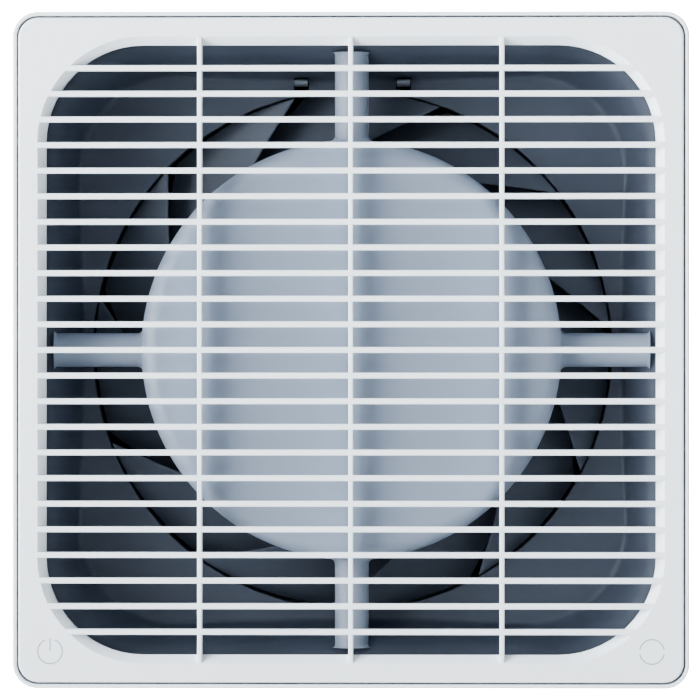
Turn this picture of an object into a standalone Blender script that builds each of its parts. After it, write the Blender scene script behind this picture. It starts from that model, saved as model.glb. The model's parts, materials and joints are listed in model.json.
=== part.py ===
"""Bathroom extractor fan: clip-on slatted front, wall casing, inlet well, axial fan and backdraught shutter.

Lengths in the constants are millimetres, and MM turns them into Blender's metres. The wall is the
plane y = 0, the front faces -Y and the duct runs along +Y. The origin is where the fan's axis meets
the wall. A "depth" is measured from the front face towards the wall.
"""
import math

import bmesh
import bpy
from mathutils import Matrix, Vector

MM = 0.001
GAP = 0.3                      # clearance between pieces that touch
CORNER_STEPS = 6               # facets in a rounded square's corner

# Front grille
PROJECTION = 56.0              # how far the front stands off the wall
PLATE_HALF = 97.2
PLATE_RADIUS = 5.9
PLATE_THICKNESS = 2.4
EDGE_ROUND = 0.6
LIP_DEPTH = 5.0
LIP_WALL = 1.6
OPENING_HALF = 91.5
OPENING_RADIUS = 30.7
BEVEL_HALF = 89.2              # inner edge of the bevel round the opening
BEVEL_RADIUS = 28.4
BEVEL_DEPTH = 3.2
BEVEL_EDGE = 0.7               # thickness of that edge
SKIRT_HALF = 90.6              # inner face of the skirt behind the bevel
SKIRT_RADIUS = 29.8
SKIRT_DEPTH = 20.0
SKIRT_WALL = 1.6
SLAT_COUNT = 23
SLAT_PITCH = 7.49
SLAT_FRONT = 1.7
SLAT_BACK = 1.3
SLAT_DEPTH = 6.0
RIB_COUNT = 3
RIB_PITCH = 44.2
RIB_WIDTH = 1.4
RIB_SET_BACK = 0.2
RIB_DEPTH = 5.4
TAB_HEIGHT = 45.0              # of the snap tabs above and below the middle
TAB_WIDTH = 8.0
TAB_THICKNESS = 1.4
TAB_OUTER = 95.4
TAB_END_DEPTH = 18.0
BARB = 0.6

# Outer casing
CASING_HALF = 99.0
CASING_RADIUS = 7.3
CASING_WALL = 2.2
CASING_FLOOR = 2.5
RIM_WALL = 1.3
RIM_DEPTH = 0.5                # of the rim behind the front face
REBATE_DEPTH = 5.7
BEAD = 0.5
DUCT_HOLE_RADIUS = 81.6        # through the casing's floor
FIXING_X = 91.0
FIXING_Z = 48.0
FIXING_RADIUS = 2.3
POST_X = 58.0                  # posts under the well's floor
POST_Z = 72.5
KEY_POST = 91.5                # posts behind the two touch boards
BOARD_POST_RADIUS = 2.0
POST_ROOT = -1.7               # y where posts start, inside the casing's floor

# Inner shroud
SHROUD_WALL = 1.6
FLOOR_DEPTH = 36.0
INLET_RADIUS = 78.2
WELL_WALL = (                  # half size, corner radius and depth, from the reveal down to the floor
    (90.6, 29.4, 20.3), (88.9, 28.3, 21.0), (87.2, 28.0, 22.6), (85.6, 28.2, 25.4), (84.2, 28.6, 29.2),
    (83.0, 29.2, 33.6), (82.3, 29.6, 35.4), (81.2, 30.0, 36.0),
)
WELL_BACK = (                  # the same wall's back, from the floor up to the flange
    (81.0, 30.0, 37.6), (83.2, 30.4, 37.0), (84.5, 30.4, 34.3), (85.7, 30.0, 29.9), (87.0, 29.6, 26.3),
    (88.4, 29.4, 23.8), (90.0, 29.6, 22.4), (93.2, 31.4, 21.9), (93.2, 31.4, 20.3),
)
CATCH_X = 15.3
CATCH_WIDTH = 3.9

# Duct and shutter
DUCT_BORE = 78.2
DUCT_OUTER = 79.5
DUCT_MOUTH_DEPTH = 37.7
DUCT_END = 58.0
DUCT_FLANGE_RADIUS = 88.0
DUCT_FLANGE_THICKNESS = 2.2
DUCT_SCREW_RADIUS = 84.8
SHUTTER_Y = 52.4
STOP_RADIUS = 75.2
FLAP_RADIUS = 76.4
FLAP_THICKNESS = 1.2
FLAP_EDGE = 3.6                # from the pin's axis to the flap's straight edge
KNUCKLE_RADIUS = 3.0
KNUCKLES = ((8.0, 30.0), (-66.0, -44.0))
PIN_RADIUS = 1.5
PIN_HALF = 79.2

# Motor housing and flange
HOUSING_RADIUS = 62.0
HOUSING_ROUND = 5.0
HOUSING_WALL = 1.8
HOUSING_DEPTH = 8.6
HOUSING_BACK = 28.0
ARM_WIDTH = 10.0
ARM_FRONT = 18.5
ARM_BACK = 28.0
ARM_END = 88.4                 # of the arm's front; its back ends against the well's wall
ARM_CLEARANCE = 0.4            # between the arms' ends and the well's wall
ARM_SCREW_DEPTH = 25.2
ARM_SCREW_SEAT = 89.8          # of the screws' heads from the fan's axis
BOSS_CIRCLE = 48.0
BOSS_RADIUS = 4.0
BOSS_END = 23.7
FLANGE_RADIUS = 59.6
FLANGE_FRONT = 26.5
FLANGE_BACK = 28.5
TUBE_RADIUS = 10.5
TUBE_BORE = 8.3
TUBE_END = 57.5

# Rotor and impeller
SHAFT_RADIUS = 2.5
SHAFT_FRONT = 26.0
SHAFT_BACK = 70.5
RUNNING_BORE = 2.8             # of the pieces that sit on the shaft
HUB_RADIUS = 36.0
HUB_FRONT = 33.5
HUB_BACK = 66.0
BLADE_COUNT = 11
BLADE_TIP = 77.4
BLADE_ROOT = 35.0
BLADE_THICKNESS = 1.5
BLADE_FRONT = 37.2
BLADE_BACK = 48.0
FIRST_TIP_ANGLE = 4.7          # of one leading edge's tip, anticlockwise from +X seen from the front
SWEEP = 0.72                   # degrees per mm of radius at the tip
SWEEP_GROWTH = 0.022           # makes the outer part of the leading edge straight
SWEEP_TURN = 15.0              # mm from the tip where the edge starts to bend back
SWEEP_EASE = 0.035
TIP_CHORD_ANGLE = 31.0
ROOT_CHORD_ANGLE = 46.0
STATOR_TEETH = 6
CORE_FRONT = 39.0
CORE_BACK = 57.0

# Electrics behind the well
CLAMP_X = -84.0                # cable entry in the top left corner, seen from the front
CLAMP_Z = 70.0
CLAMP_SCREW = 6.8
GROMMET_Z = 84.0
BOARD_BACK = -6.0              # back of the control board
BOARD_THICKNESS = 1.6
BOARD_LOW = 64.0
BOARD_HIGH = 88.0
TOUCH_LOW = 84.7               # a touch board's near and far edges, from the fan's axis
TOUCH_HIGH = 94.7
TOUCH_CORNER = 2.0
TOUCH_BACK = 3.9               # depth of its back
BLOCK_FRONT = -16.0            # front of the terminal block
LEAD_RADIUS = 1.5
LEAD_DEPTH = 30.2              # of the motor's lead behind the lower arm
LEAD_NOTCH_Z = -42.5           # inner end of the flange's notch for the lead


def depth(value):
    """The y of a point that lies this far behind the front face."""
    return value - PROJECTION


def clear_scene():
    for leftover in list(bpy.data.objects):
        bpy.data.objects.remove(leftover, do_unlink=True)


def plastic(name, colour, roughness, metallic=0.0):
    material = bpy.data.materials.new(name)
    material.use_nodes = True
    shader = material.node_tree.nodes["Principled BSDF"]
    shader.inputs["Base Color"].default_value = (*colour, 1.0)
    shader.inputs["Roughness"].default_value = roughness
    shader.inputs["Metallic"].default_value = metallic
    return material


def finish_object(name, mesh, material):
    mesh.materials.append(material)
    mesh.shade_smooth()
    mesh.set_sharp_from_angle(angle=math.radians(32.0))
    item = bpy.data.objects.new(name, mesh)
    bpy.context.scene.collection.objects.link(item)
    return item


def mesh_from_loops(name, loops, closed, material, thin=False):
    """A body through equal loops of points in millimetres.

    A closed body runs from the last loop back to the first, like a tyre; an open one is capped.
    A thin one's loops run along one side and back along the other, so its caps are strips.
    """
    work = bmesh.new()
    rows = [[work.verts.new([value * MM for value in point]) for point in loop] for loop in loops]
    count = len(rows[0])
    pairs = list(zip(rows, rows[1:] + rows[:1])) if closed else list(zip(rows, rows[1:]))
    for row, following in pairs:
        for index in range(count):
            other = (index + 1) % count
            work.faces.new((row[index], row[other], following[other], following[index]))
    for row in [] if closed else (rows[0], rows[-1]):
        if not thin:
            work.faces.new(row)
            continue
        for index in range(count // 2 - 1):
            work.faces.new((row[index], row[index + 1], row[count - 2 - index], row[count - 1 - index]))
    bmesh.ops.recalc_face_normals(work, faces=work.faces)
    mesh = bpy.data.meshes.new(name)
    work.to_mesh(mesh)
    work.free()
    return finish_object(name, mesh, material)


def square_loop(half, radius, y, steps=CORNER_STEPS):
    """A square with round corners, anticlockwise as seen from the front."""
    points = []
    for corner in range(4):
        middle = math.radians(45.0 + 90.0 * corner)
        centre_x = math.copysign(half - radius, math.cos(middle))
        centre_z = math.copysign(half - radius, math.sin(middle))
        for step in range(steps + 1):
            angle = math.radians(90.0 * corner + 90.0 * step / steps)
            points.append((centre_x + radius * math.cos(angle), y, centre_z + radius * math.sin(angle)))
    return points


def round_loop(radius, y, count):
    angles = [2.0 * math.pi * (index + 0.5) / count for index in range(count)]
    return [(radius * math.cos(angle), y, radius * math.sin(angle)) for angle in angles]


def turned(name, profile, material, count=24, closed=True):
    """A body turned about the Y axis from (radius, y) points."""
    return mesh_from_loops(name, [round_loop(radius, y, count) for radius, y in profile], closed, material)


def prism(name, outline, axis, start, end, material):
    """An outline pushed along an axis; its points are the other two coordinates in x, y, z order."""
    def place(first, second, along):
        return {"X": (along, first, second), "Y": (first, along, second), "Z": (first, second, along)}[axis]
    loops = [[place(first, second, along) for first, second in outline] for along in (start, end)]
    return mesh_from_loops(name, loops, False, material)


def block(name, x, y, z, material):
    """A plain box between three pairs of limits."""
    outline = [(x[0], y[0]), (x[1], y[0]), (x[1], y[1]), (x[0], y[1])]
    return prism(name, outline, "Z", z[0], z[1], material)


def put(item, x=0.0, y=0.0, z=0.0, turn=None):
    """Place an object, with an optional (axis index, degrees) turn."""
    item.location = (x * MM, y * MM, z * MM)
    if turn:
        item.rotation_euler[turn[0]] = math.radians(turn[1])
    return item


def copy_of(item, name):
    twin = item.copy()
    twin.name = name
    bpy.context.scene.collection.objects.link(twin)
    return twin


def combine(target, operation, tools):
    """Join the tools to the target (UNION) or cut them out of it (DIFFERENCE)."""
    group = bpy.data.collections.new(f"{target.name}_{operation.lower()}")
    bpy.context.scene.collection.children.link(group)
    for tool in tools:
        bpy.context.scene.collection.objects.unlink(tool)
        group.objects.link(tool)
        tool.hide_render = True
        tool.display_type = "WIRE"
    modifier = target.modifiers.new(operation.title(), "BOOLEAN")
    modifier.operation = operation
    modifier.operand_type = "COLLECTION"
    modifier.collection = group
    modifier.solver = "EXACT"


def ride_on(parent, *items):
    """Parent objects to an empty on their joint's axis without moving them."""
    for item in items:
        item.parent = parent
        item.location = item.location - parent.location


def axis_empty(name, y):
    empty = bpy.data.objects.new(name, None)
    bpy.context.scene.collection.objects.link(empty)
    return put(empty, y=y)


def screw(name, head_radius, head_height, shank_radius, shank_length, material):
    """A pan-head screw along +Y whose head's underside is at y = 0."""
    profile = [
        (head_radius * 0.7, -head_height), (head_radius, -head_height * 0.5), (head_radius, 0.0),
        (shank_radius, 0.0), (shank_radius, shank_length - 1.0), (shank_radius * 0.4, shank_length),
    ]
    return turned(name, profile, material, count=10, closed=False)


def opening_reach(offset):
    """Half the width of the front's opening at this distance from its middle line."""
    straight = OPENING_HALF - OPENING_RADIUS
    if abs(offset) <= straight:
        return OPENING_HALF
    return straight + math.sqrt(OPENING_RADIUS ** 2 - (abs(offset) - straight) ** 2)


def make_front_grille(white):
    skirt_top = OPENING_HALF + SKIRT_WALL
    skirt_bottom = SKIRT_HALF + SKIRT_WALL
    loops = [
        square_loop(PLATE_HALF - EDGE_ROUND, PLATE_RADIUS - EDGE_ROUND, depth(0.0)),
        square_loop(PLATE_HALF, PLATE_RADIUS, depth(EDGE_ROUND)),
        square_loop(PLATE_HALF, PLATE_RADIUS, depth(LIP_DEPTH)),
        square_loop(PLATE_HALF - LIP_WALL, PLATE_RADIUS - LIP_WALL, depth(LIP_DEPTH)),
        square_loop(PLATE_HALF - LIP_WALL, PLATE_RADIUS - LIP_WALL, depth(PLATE_THICKNESS)),
        square_loop(skirt_top, OPENING_RADIUS + SKIRT_WALL, depth(PLATE_THICKNESS)),
        square_loop(skirt_bottom, SKIRT_RADIUS + SKIRT_WALL, depth(SKIRT_DEPTH)),
        square_loop(SKIRT_HALF, SKIRT_RADIUS, depth(SKIRT_DEPTH)),
        square_loop(SKIRT_HALF, SKIRT_RADIUS, depth(BEVEL_DEPTH + 2 * BEVEL_EDGE)),
        square_loop(BEVEL_HALF, BEVEL_RADIUS, depth(BEVEL_DEPTH + BEVEL_EDGE)),
        square_loop(BEVEL_HALF, BEVEL_RADIUS, depth(BEVEL_DEPTH)),
        square_loop(OPENING_HALF, OPENING_RADIUS, depth(EDGE_ROUND * 0.5)),
        square_loop(OPENING_HALF + EDGE_ROUND * 0.5, OPENING_RADIUS + EDGE_ROUND * 0.5, depth(0.0)),
    ]
    grille = mesh_from_loops("front_grille", loops, True, white)
    pieces = []
    for index in range(SLAT_COUNT):
        height = (index - (SLAT_COUNT - 1) / 2) * SLAT_PITCH
        reach = opening_reach(height) + 0.9
        outline = [
            (depth(0.0), height - SLAT_FRONT / 2), (depth(0.0), height + SLAT_FRONT / 2),
            (depth(SLAT_DEPTH), height + SLAT_BACK / 2), (depth(SLAT_DEPTH), height - SLAT_BACK / 2),
        ]
        pieces.append(prism(f"slat_{index}", outline, "X", -reach, reach, white))
    for index in range(RIB_COUNT):
        side = (index - (RIB_COUNT - 1) / 2) * RIB_PITCH
        reach = opening_reach(side) + 0.9
        across = (side - RIB_WIDTH / 2, side + RIB_WIDTH / 2)
        along = (depth(RIB_SET_BACK), depth(RIB_SET_BACK + RIB_DEPTH))
        pieces.append(block(f"rib_{index}", across, along, (-reach, reach), white))
    combine(grille, "UNION", pieces + make_snap_tabs(white))


def make_snap_tabs(white):
    """Four tabs behind the front, each with a barb at its end."""
    root = depth(PLATE_THICKNESS - 0.7)
    end = depth(TAB_END_DEPTH)
    tabs = []
    for side in (-1, 1):
        inner = side * (TAB_OUTER - TAB_THICKNESS)
        outer = side * TAB_OUTER
        outline = [
            (inner, root), (outer, root), (outer, end - 2.6), (outer + side * BARB, end - 1.8),
            (outer + side * BARB, end - 1.2), (outer, end), (inner, end),
        ]
        for level in (-1, 1):
            low = level * TAB_HEIGHT - TAB_WIDTH / 2
            tabs.append(prism(f"tab_{side}_{level}", outline, "Z", low, low + TAB_WIDTH, white))
    return tabs


def make_outer_casing(white):
    inner = CASING_HALF - CASING_WALL
    inner_radius = CASING_RADIUS - CASING_WALL
    rim = CASING_HALF - RIM_WALL
    rim_radius = CASING_RADIUS - RIM_WALL
    loops = [
        square_loop(CASING_HALF - 0.6, CASING_RADIUS - 0.6, depth(RIM_DEPTH)),
        square_loop(CASING_HALF, CASING_RADIUS, depth(RIM_DEPTH + 0.6)),
        square_loop(CASING_HALF, CASING_RADIUS, 0.0),
        round_loop(DUCT_HOLE_RADIUS, 0.0, 4 * (CORNER_STEPS + 1)),
        round_loop(DUCT_HOLE_RADIUS, -CASING_FLOOR, 4 * (CORNER_STEPS + 1)),
        square_loop(inner, inner_radius, -CASING_FLOOR),
        square_loop(inner, inner_radius, depth(REBATE_DEPTH)),
        square_loop(rim, rim_radius, depth(REBATE_DEPTH)),
        square_loop(rim, rim_radius, depth(RIM_DEPTH + 0.4)),
        square_loop(rim + 0.3, rim_radius + 0.3, depth(RIM_DEPTH)),
    ]
    casing = mesh_from_loops("outer_casing", loops, True, white)
    posts = []
    for side in (-1, 1):
        for level in (-1, 1):
            post_end = depth(FLOOR_DEPTH + SHROUD_WALL) + GAP
            post = turned("shroud_post", [(3.0, POST_ROOT), (2.6, post_end)], white, 8, False)
            posts.append(put(post, x=side * POST_X, z=level * POST_Z))
            bead_y = depth(TAB_END_DEPTH - 4.0)
            outline = [(inner + 0.5, bead_y - 1.1), (inner + 0.5, bead_y + 1.1), (inner - BEAD, bead_y)]
            outline = [(side * x, y) for x, y in outline]
            low = level * TAB_HEIGHT - TAB_WIDTH / 2 - 1.0
            posts.append(prism("snap_bead", outline, "Z", low, low + TAB_WIDTH + 2.0, white))
        key_post = turned("key_post", [(2.6, POST_ROOT), (2.0, depth(TOUCH_BACK) + GAP)], white, 8, False)
        posts.append(put(key_post, x=side * KEY_POST, z=-KEY_POST))
        clamp_post = turned("clamp_post", [(2.6, POST_ROOT), (2.6, -5.5)], white, 8, False)
        posts.append(put(clamp_post, x=CLAMP_X + side * CLAMP_SCREW, z=CLAMP_Z))
    for x, z in board_posts():
        board_post_profile = [(BOARD_POST_RADIUS, POST_ROOT), (BOARD_POST_RADIUS, BOARD_BACK + GAP)]
        board_post = turned("board_post", board_post_profile, white, 8, False)
        posts.append(put(board_post, x=x, z=z))
    combine(casing, "UNION", posts)
    combine(casing, "DIFFERENCE", casing_holes(white))


def board_posts():
    """Where the control board's stand-offs are, in x and z."""
    return [(BOARD_HIGH - 4.0, -BOARD_LOW - 4.0), (BOARD_LOW + 4.0, -BOARD_HIGH + 4.0)]


def casing_holes(white):
    cutters = []
    for side in (-1, 1):
        for level in (-1, 1):
            hole = turned("fixing_hole", [(FIXING_RADIUS, -6.0), (FIXING_RADIUS, 2.0)], white, 12, False)
            cutters.append(put(hole, x=side * FIXING_X, z=level * FIXING_Z))
        pilot = turned("clamp_pilot", [(1.3, -8.0), (1.3, -1.2)], white, 10, False)
        cutters.append(put(pilot, x=CLAMP_X + side * CLAMP_SCREW, z=CLAMP_Z))
    for index in range(4):
        angle = math.radians(45.0 + 90.0 * index)
        pilot = turned("duct_pilot", [(1.8, -6.0), (1.8, 2.0)], white, 8, False)
        x = DUCT_SCREW_RADIUS * math.cos(angle)
        cutters.append(put(pilot, x=x, z=DUCT_SCREW_RADIUS * math.sin(angle)))
    entry = turned("cable_entry", [(6.0, -6.0), (6.0, 2.0)], white, 20, False)
    cutters.append(put(entry, x=CLAMP_X, z=GROMMET_Z))
    return cutters


def make_inner_shroud(dark):
    steps = 8
    count = 4 * (steps + 1)
    loops = [square_loop(half, radius, depth(level), steps) for half, radius, level in WELL_WALL]
    loops.append(round_loop(INLET_RADIUS, depth(FLOOR_DEPTH), count))
    loops.append(round_loop(INLET_RADIUS, depth(FLOOR_DEPTH + SHROUD_WALL - 0.2), count))
    loops += [square_loop(half, radius, depth(level), steps) for half, radius, level in WELL_BACK]
    shroud = mesh_from_loops("inner_shroud", loops, True, dark)
    cutters = []
    for index in range(4):
        hole = turned("arm_hole", [(1.7, 80.0), (1.7, 96.0)], dark, 8, False)
        cutters.append(radial(hole, index))
    lead_hole = turned("lead_hole", [(LEAD_RADIUS + 0.5, -94.0), (LEAD_RADIUS + 0.5, -79.0)], dark, 12, False)
    cutters.append(put(lead_hole, y=depth(LEAD_DEPTH), turn=(0, 90.0)))
    for side in (-1, 1):
        x = side * CATCH_X
        span = (x - CATCH_WIDTH / 2 - GAP, x + CATCH_WIDTH / 2 + GAP)
        cutters.append(block("catch_slot", span, (depth(33.0), depth(39.0)), (75.0, 81.6), dark))
    combine(shroud, "DIFFERENCE", cutters)


def radial(item, index, inwards=False):
    """Turn an object that lies along +Y so that it points out along one of the four arms, or back in."""
    angle = math.radians(90.0 * index + (180.0 if inwards else 0.0))
    outward = Vector((math.cos(angle), 0.0, math.sin(angle)))
    item.rotation_euler = Vector((0.0, 1.0, 0.0)).rotation_difference(outward).to_euler()
    item.location = (0.0, depth(ARM_SCREW_DEPTH) * MM, 0.0)
    return item


def make_catches(pale):
    foot = -DUCT_FLANGE_THICKNESS - CASING_FLOOR - 3 * GAP
    outline = [
        (depth(31.4), 79.8), (depth(31.4), 80.5), (depth(31.8), 80.9), (depth(49.2), 80.9),
        (depth(49.2), 84.2), (foot, 84.2), (foot, 79.9), (depth(35.9), 79.9), (depth(35.0), 79.0),
        (depth(33.8), 79.0), (depth(31.8), 79.4),
    ]
    for name, side in (("left", -1), ("right", 1)):
        x = side * CATCH_X
        prism(f"shroud_catch_{name}", outline, "X", x - CATCH_WIDTH / 2, x + CATCH_WIDTH / 2, pale)


def make_fan_duct(dark):
    flange_back = -CASING_FLOOR - GAP
    flange_front = flange_back - DUCT_FLANGE_THICKNESS
    profile = [
        (DUCT_BORE, depth(DUCT_MOUTH_DEPTH + 0.6)), (DUCT_BORE + 0.5, depth(DUCT_MOUTH_DEPTH + 0.1)),
        (DUCT_OUTER, depth(DUCT_MOUTH_DEPTH + 0.1)), (DUCT_OUTER, flange_front),
        (DUCT_FLANGE_RADIUS, flange_front), (DUCT_FLANGE_RADIUS, flange_back), (DUCT_OUTER, flange_back),
        (DUCT_OUTER, DUCT_END - 1.0), (DUCT_OUTER - 0.6, DUCT_END), (DUCT_BORE, DUCT_END),
        (DUCT_BORE, SHUTTER_Y - 1.2), (STOP_RADIUS, SHUTTER_Y - 1.2), (STOP_RADIUS, SHUTTER_Y - 2.6),
        (DUCT_BORE, SHUTTER_Y - 5.0),
    ]
    duct = turned("fan_duct", profile, dark, count=44)
    cutters = []
    for index in range(4):
        angle = math.radians(45.0 + 90.0 * index)
        hole = turned("flange_hole", [(1.8, -8.0), (1.8, -1.0)], dark, 8, False)
        x = DUCT_SCREW_RADIUS * math.cos(angle)
        cutters.append(put(hole, x=x, z=DUCT_SCREW_RADIUS * math.sin(angle)))
    pin_hole = turned("pin_hole", [(PIN_RADIUS + GAP, -90.0), (PIN_RADIUS + GAP, 90.0)], dark, 12, False)
    cutters.append(put(pin_hole, y=SHUTTER_Y, turn=(0, 90.0)))
    combine(duct, "DIFFERENCE", cutters)


def make_duct_screws(steel):
    for index in range(4):
        angle = math.radians(45.0 + 90.0 * index)
        item = screw(f"duct_screw_{index + 1}", 2.8, 2.0, 1.4, 4.6, steel)
        put(item, x=DUCT_SCREW_RADIUS * math.cos(angle), z=DUCT_SCREW_RADIUS * math.sin(angle))
        item.location.y = (-CASING_FLOOR - 2 * GAP - DUCT_FLANGE_THICKNESS) * MM


def make_shutter(dark, steel):
    pin = turned("shutter_pin", [(PIN_RADIUS, -PIN_HALF), (PIN_RADIUS, PIN_HALF)], steel, 12, False)
    put(pin, y=SHUTTER_Y, turn=(0, 90.0))
    for name, turn in (("right", 0.0), ("left", 180.0)):
        axis = axis_empty(f"shutter_{name}_axis", SHUTTER_Y)
        flap = make_flap(f"shutter_flap_{name}", dark)
        spring = make_shutter_spring(f"shutter_spring_{name}", steel)
        for item in (flap, spring):
            item.rotation_euler[1] = math.radians(turn)
            item.parent = axis


def make_flap(name, dark):
    """A half disc with two knuckles on the pin, which is the local Z axis."""
    half = FLAP_THICKNESS / 2
    start = math.asin(FLAP_EDGE / FLAP_RADIUS)
    outline = []
    for step in range(25):
        angle = -math.pi / 2 + start + (math.pi - 2 * start) * step / 24
        outline.append((FLAP_RADIUS * math.cos(angle), FLAP_RADIUS * math.sin(angle)))
    flap = prism(name, outline, "Y", -half, half, dark)
    joins = []
    bore = PIN_RADIUS + GAP
    for index, (low, high) in enumerate(KNUCKLES):
        ring = [(bore, low), (KNUCKLE_RADIUS, low), (KNUCKLE_RADIUS, high), (bore, high)]
        knuckle = turned(f"{name}_knuckle_{index}", ring, dark, 16)
        knuckle.data.transform(Matrix.Rotation(math.radians(90.0), 4, "X"))
        across = (-half * 0.9, half * 0.9)
        web = block(f"{name}_web_{index}", (2.3, 5.0), across, (low + 0.2, high - 0.2), dark)
        joins += [knuckle, web]
    stiffener = block(f"{name}_stiffener", (12.0, 70.0), (half * 0.3, half + 1.2), (-0.6, 0.6), dark)
    joins.append(stiffener)
    combine(flap, "UNION", joins)
    for item in joins:
        item.parent = flap
    return flap


def make_shutter_spring(name, steel):
    """A small torsion spring round the pin, with one leg on the flap; the pin is the local Z axis."""
    thickness = 0.35
    coil_radius = PIN_RADIUS + GAP + thickness + 0.1
    turns = 3
    pitch = 1.3
    start = KNUCKLES[0][1] + 3.0
    steps = 8
    points = []
    for step in range(turns * steps + steps // 4 + 1):
        angle = 2 * math.pi * step / steps
        height = start + pitch * step / steps
        points.append((coil_radius * math.cos(angle), coil_radius * math.sin(angle), height))
    leg_y = FLAP_THICKNESS / 2 + GAP + thickness
    top = points[-1][2]
    points += [(1.5, coil_radius - 0.2, top + 0.1), (4.0, leg_y + 0.15, top + 0.2), (16.0, leg_y, top + 0.2)]
    return wire(name, points, thickness, steel, resolution=0)


def make_motor_housing(pale):
    rim = []
    for step in range(5):
        angle = math.pi / 2 * step / 4
        radius = HOUSING_RADIUS - HOUSING_ROUND + HOUSING_ROUND * math.sin(angle)
        rim.append((radius, depth(HOUSING_DEPTH + HOUSING_ROUND - HOUSING_ROUND * math.cos(angle))))
    inner = HOUSING_RADIUS - HOUSING_WALL
    profile = rim + [
        (HOUSING_RADIUS, depth(HOUSING_BACK)), (inner, depth(HOUSING_BACK)),
        (inner, depth(HOUSING_DEPTH + HOUSING_ROUND)), (inner - 3.0, depth(HOUSING_DEPTH + HOUSING_WALL)),
    ]
    housing = turned("motor_housing", profile, pale, count=36, closed=False)
    joins = []
    crown = (ARM_BACK - ARM_FRONT) / 2
    for index in range(4):
        outline = [(-ARM_WIDTH / 2, depth(ARM_BACK)), (ARM_WIDTH / 2, depth(ARM_BACK))]
        for step in range(7):
            angle = math.pi * step / 6
            level = ARM_FRONT + crown - crown * math.sin(angle)
            outline.append((ARM_WIDTH / 2 * math.cos(angle), depth(level)))
        arm = prism(f"arm_{index}", outline, "Z", HOUSING_RADIUS - 1.2, ARM_END, pale)
        joins.append(put(arm, turn=(1, 90.0 * index)))
        boss = turned("boss", [(BOSS_RADIUS, depth(HOUSING_DEPTH + 1.0)), (BOSS_RADIUS, depth(BOSS_END))],
                      pale, 10, False)
        joins.append(put(boss, **on_boss_circle(index)))
    combine(housing, "UNION", joins)
    cutters = []
    for index in range(4):
        hole = turned("boss_hole", [(1.8, depth(17.0)), (1.8, depth(BOSS_END + 2.0))], pale, 8, False)
        cutters.append(put(hole, **on_boss_circle(index)))
        cutters.append(radial(turned("arm_end_hole", [(1.7, 77.0), (1.7, 92.0)], pale, 8, False), index))
    cutters.append(make_arm_trim(pale))
    combine(housing, "DIFFERENCE", cutters)


def make_arm_trim(pale):
    """The space outside the well's wall, which the arms' ends are cut back to."""
    outside, front, back = 110.0, 12.0, 40.0
    loops = [
        square_loop(outside, SKIRT_RADIUS, depth(back)), square_loop(outside, SKIRT_RADIUS, depth(front)),
        square_loop(SKIRT_HALF - ARM_CLEARANCE, SKIRT_RADIUS, depth(front)),
    ]
    for half, radius, level in WELL_WALL:
        loops.append(square_loop(half - ARM_CLEARANCE, radius, depth(level)))
    return mesh_from_loops("arm_trim", loops, True, pale)


def on_boss_circle(index):
    angle = math.radians(45.0 + 90.0 * index)
    return {"x": BOSS_CIRCLE * math.cos(angle), "z": BOSS_CIRCLE * math.sin(angle)}


def make_motor_flange(metal):
    shoulder = 6.0
    profile = [
        (shoulder, depth(FLANGE_FRONT)), (FLANGE_RADIUS, depth(FLANGE_FRONT)),
        (FLANGE_RADIUS, depth(FLANGE_BACK)), (TUBE_RADIUS + 3.0, depth(FLANGE_BACK)),
        (TUBE_RADIUS, depth(FLANGE_BACK + 3.0)),
        (TUBE_RADIUS, depth(TUBE_END)), (TUBE_BORE, depth(TUBE_END)), (TUBE_BORE, depth(FLANGE_BACK)),
        (shoulder, depth(FLANGE_BACK)),
    ]
    flange = turned("motor_flange", profile, metal, count=24)
    cutters = []
    across = (-LEAD_RADIUS - 0.6, LEAD_RADIUS + 0.6)
    cutters.append(block("lead_notch", across, (depth(20.0), depth(32.0)), (-64.0, LEAD_NOTCH_Z), metal))
    for index in range(4):
        hole = turned("flange_screw_hole", [(1.8, depth(20.0)), (1.8, depth(32.0))], metal, 12, False)
        cutters.append(put(hole, **on_boss_circle(index)))
    combine(flange, "DIFFERENCE", cutters)


def make_motor_fixings(rubber, steel):
    for index in range(4):
        front, back = depth(BOSS_END + GAP), depth(FLANGE_FRONT - GAP)
        ring = [(1.9, front), (4.6, front), (4.6, back), (1.9, back)]
        damper = turned(f"motor_damper_{index + 1}", ring, rubber, 12)
        put(damper, **on_boss_circle(index))
        item = screw(f"motor_screw_{index + 1}", 2.9, 2.0, 1.4, 9.0, steel)
        put(item, **on_boss_circle(index))
        item.rotation_euler[0] = math.radians(180.0)
        item.location.y = depth(FLANGE_BACK + GAP) * MM


def make_arm_screws(steel):
    for index, side in enumerate(("right", "top", "left", "bottom")):
        item = screw(f"arm_screw_{side}", 2.4, 2.0, 1.3, 9.5, steel)
        radial(item, index, inwards=True)
        item.location.x = ARM_SCREW_SEAT * math.cos(math.radians(90.0 * index)) * MM
        item.location.z = ARM_SCREW_SEAT * math.sin(math.radians(90.0 * index)) * MM


def make_motor_board(green):
    ring = [(13.0, depth(22.0)), (42.0, depth(22.0)), (42.0, depth(23.6)), (13.0, depth(23.6))]
    turned("motor_board", ring, green, 28)


def make_bearing(name, front, steel):
    width = 5.0
    outer = TUBE_BORE - GAP
    profile = [
        (RUNNING_BORE, front), (4.5, front), (5.5, front + 0.5), (6.5, front), (outer, front),
        (outer, front + width), (6.5, front + width), (5.5, front + width - 0.5), (4.5, front + width),
        (RUNNING_BORE, front + width),
    ]
    return turned(name, [(radius, depth(level)) for radius, level in profile], steel, 16)


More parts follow.
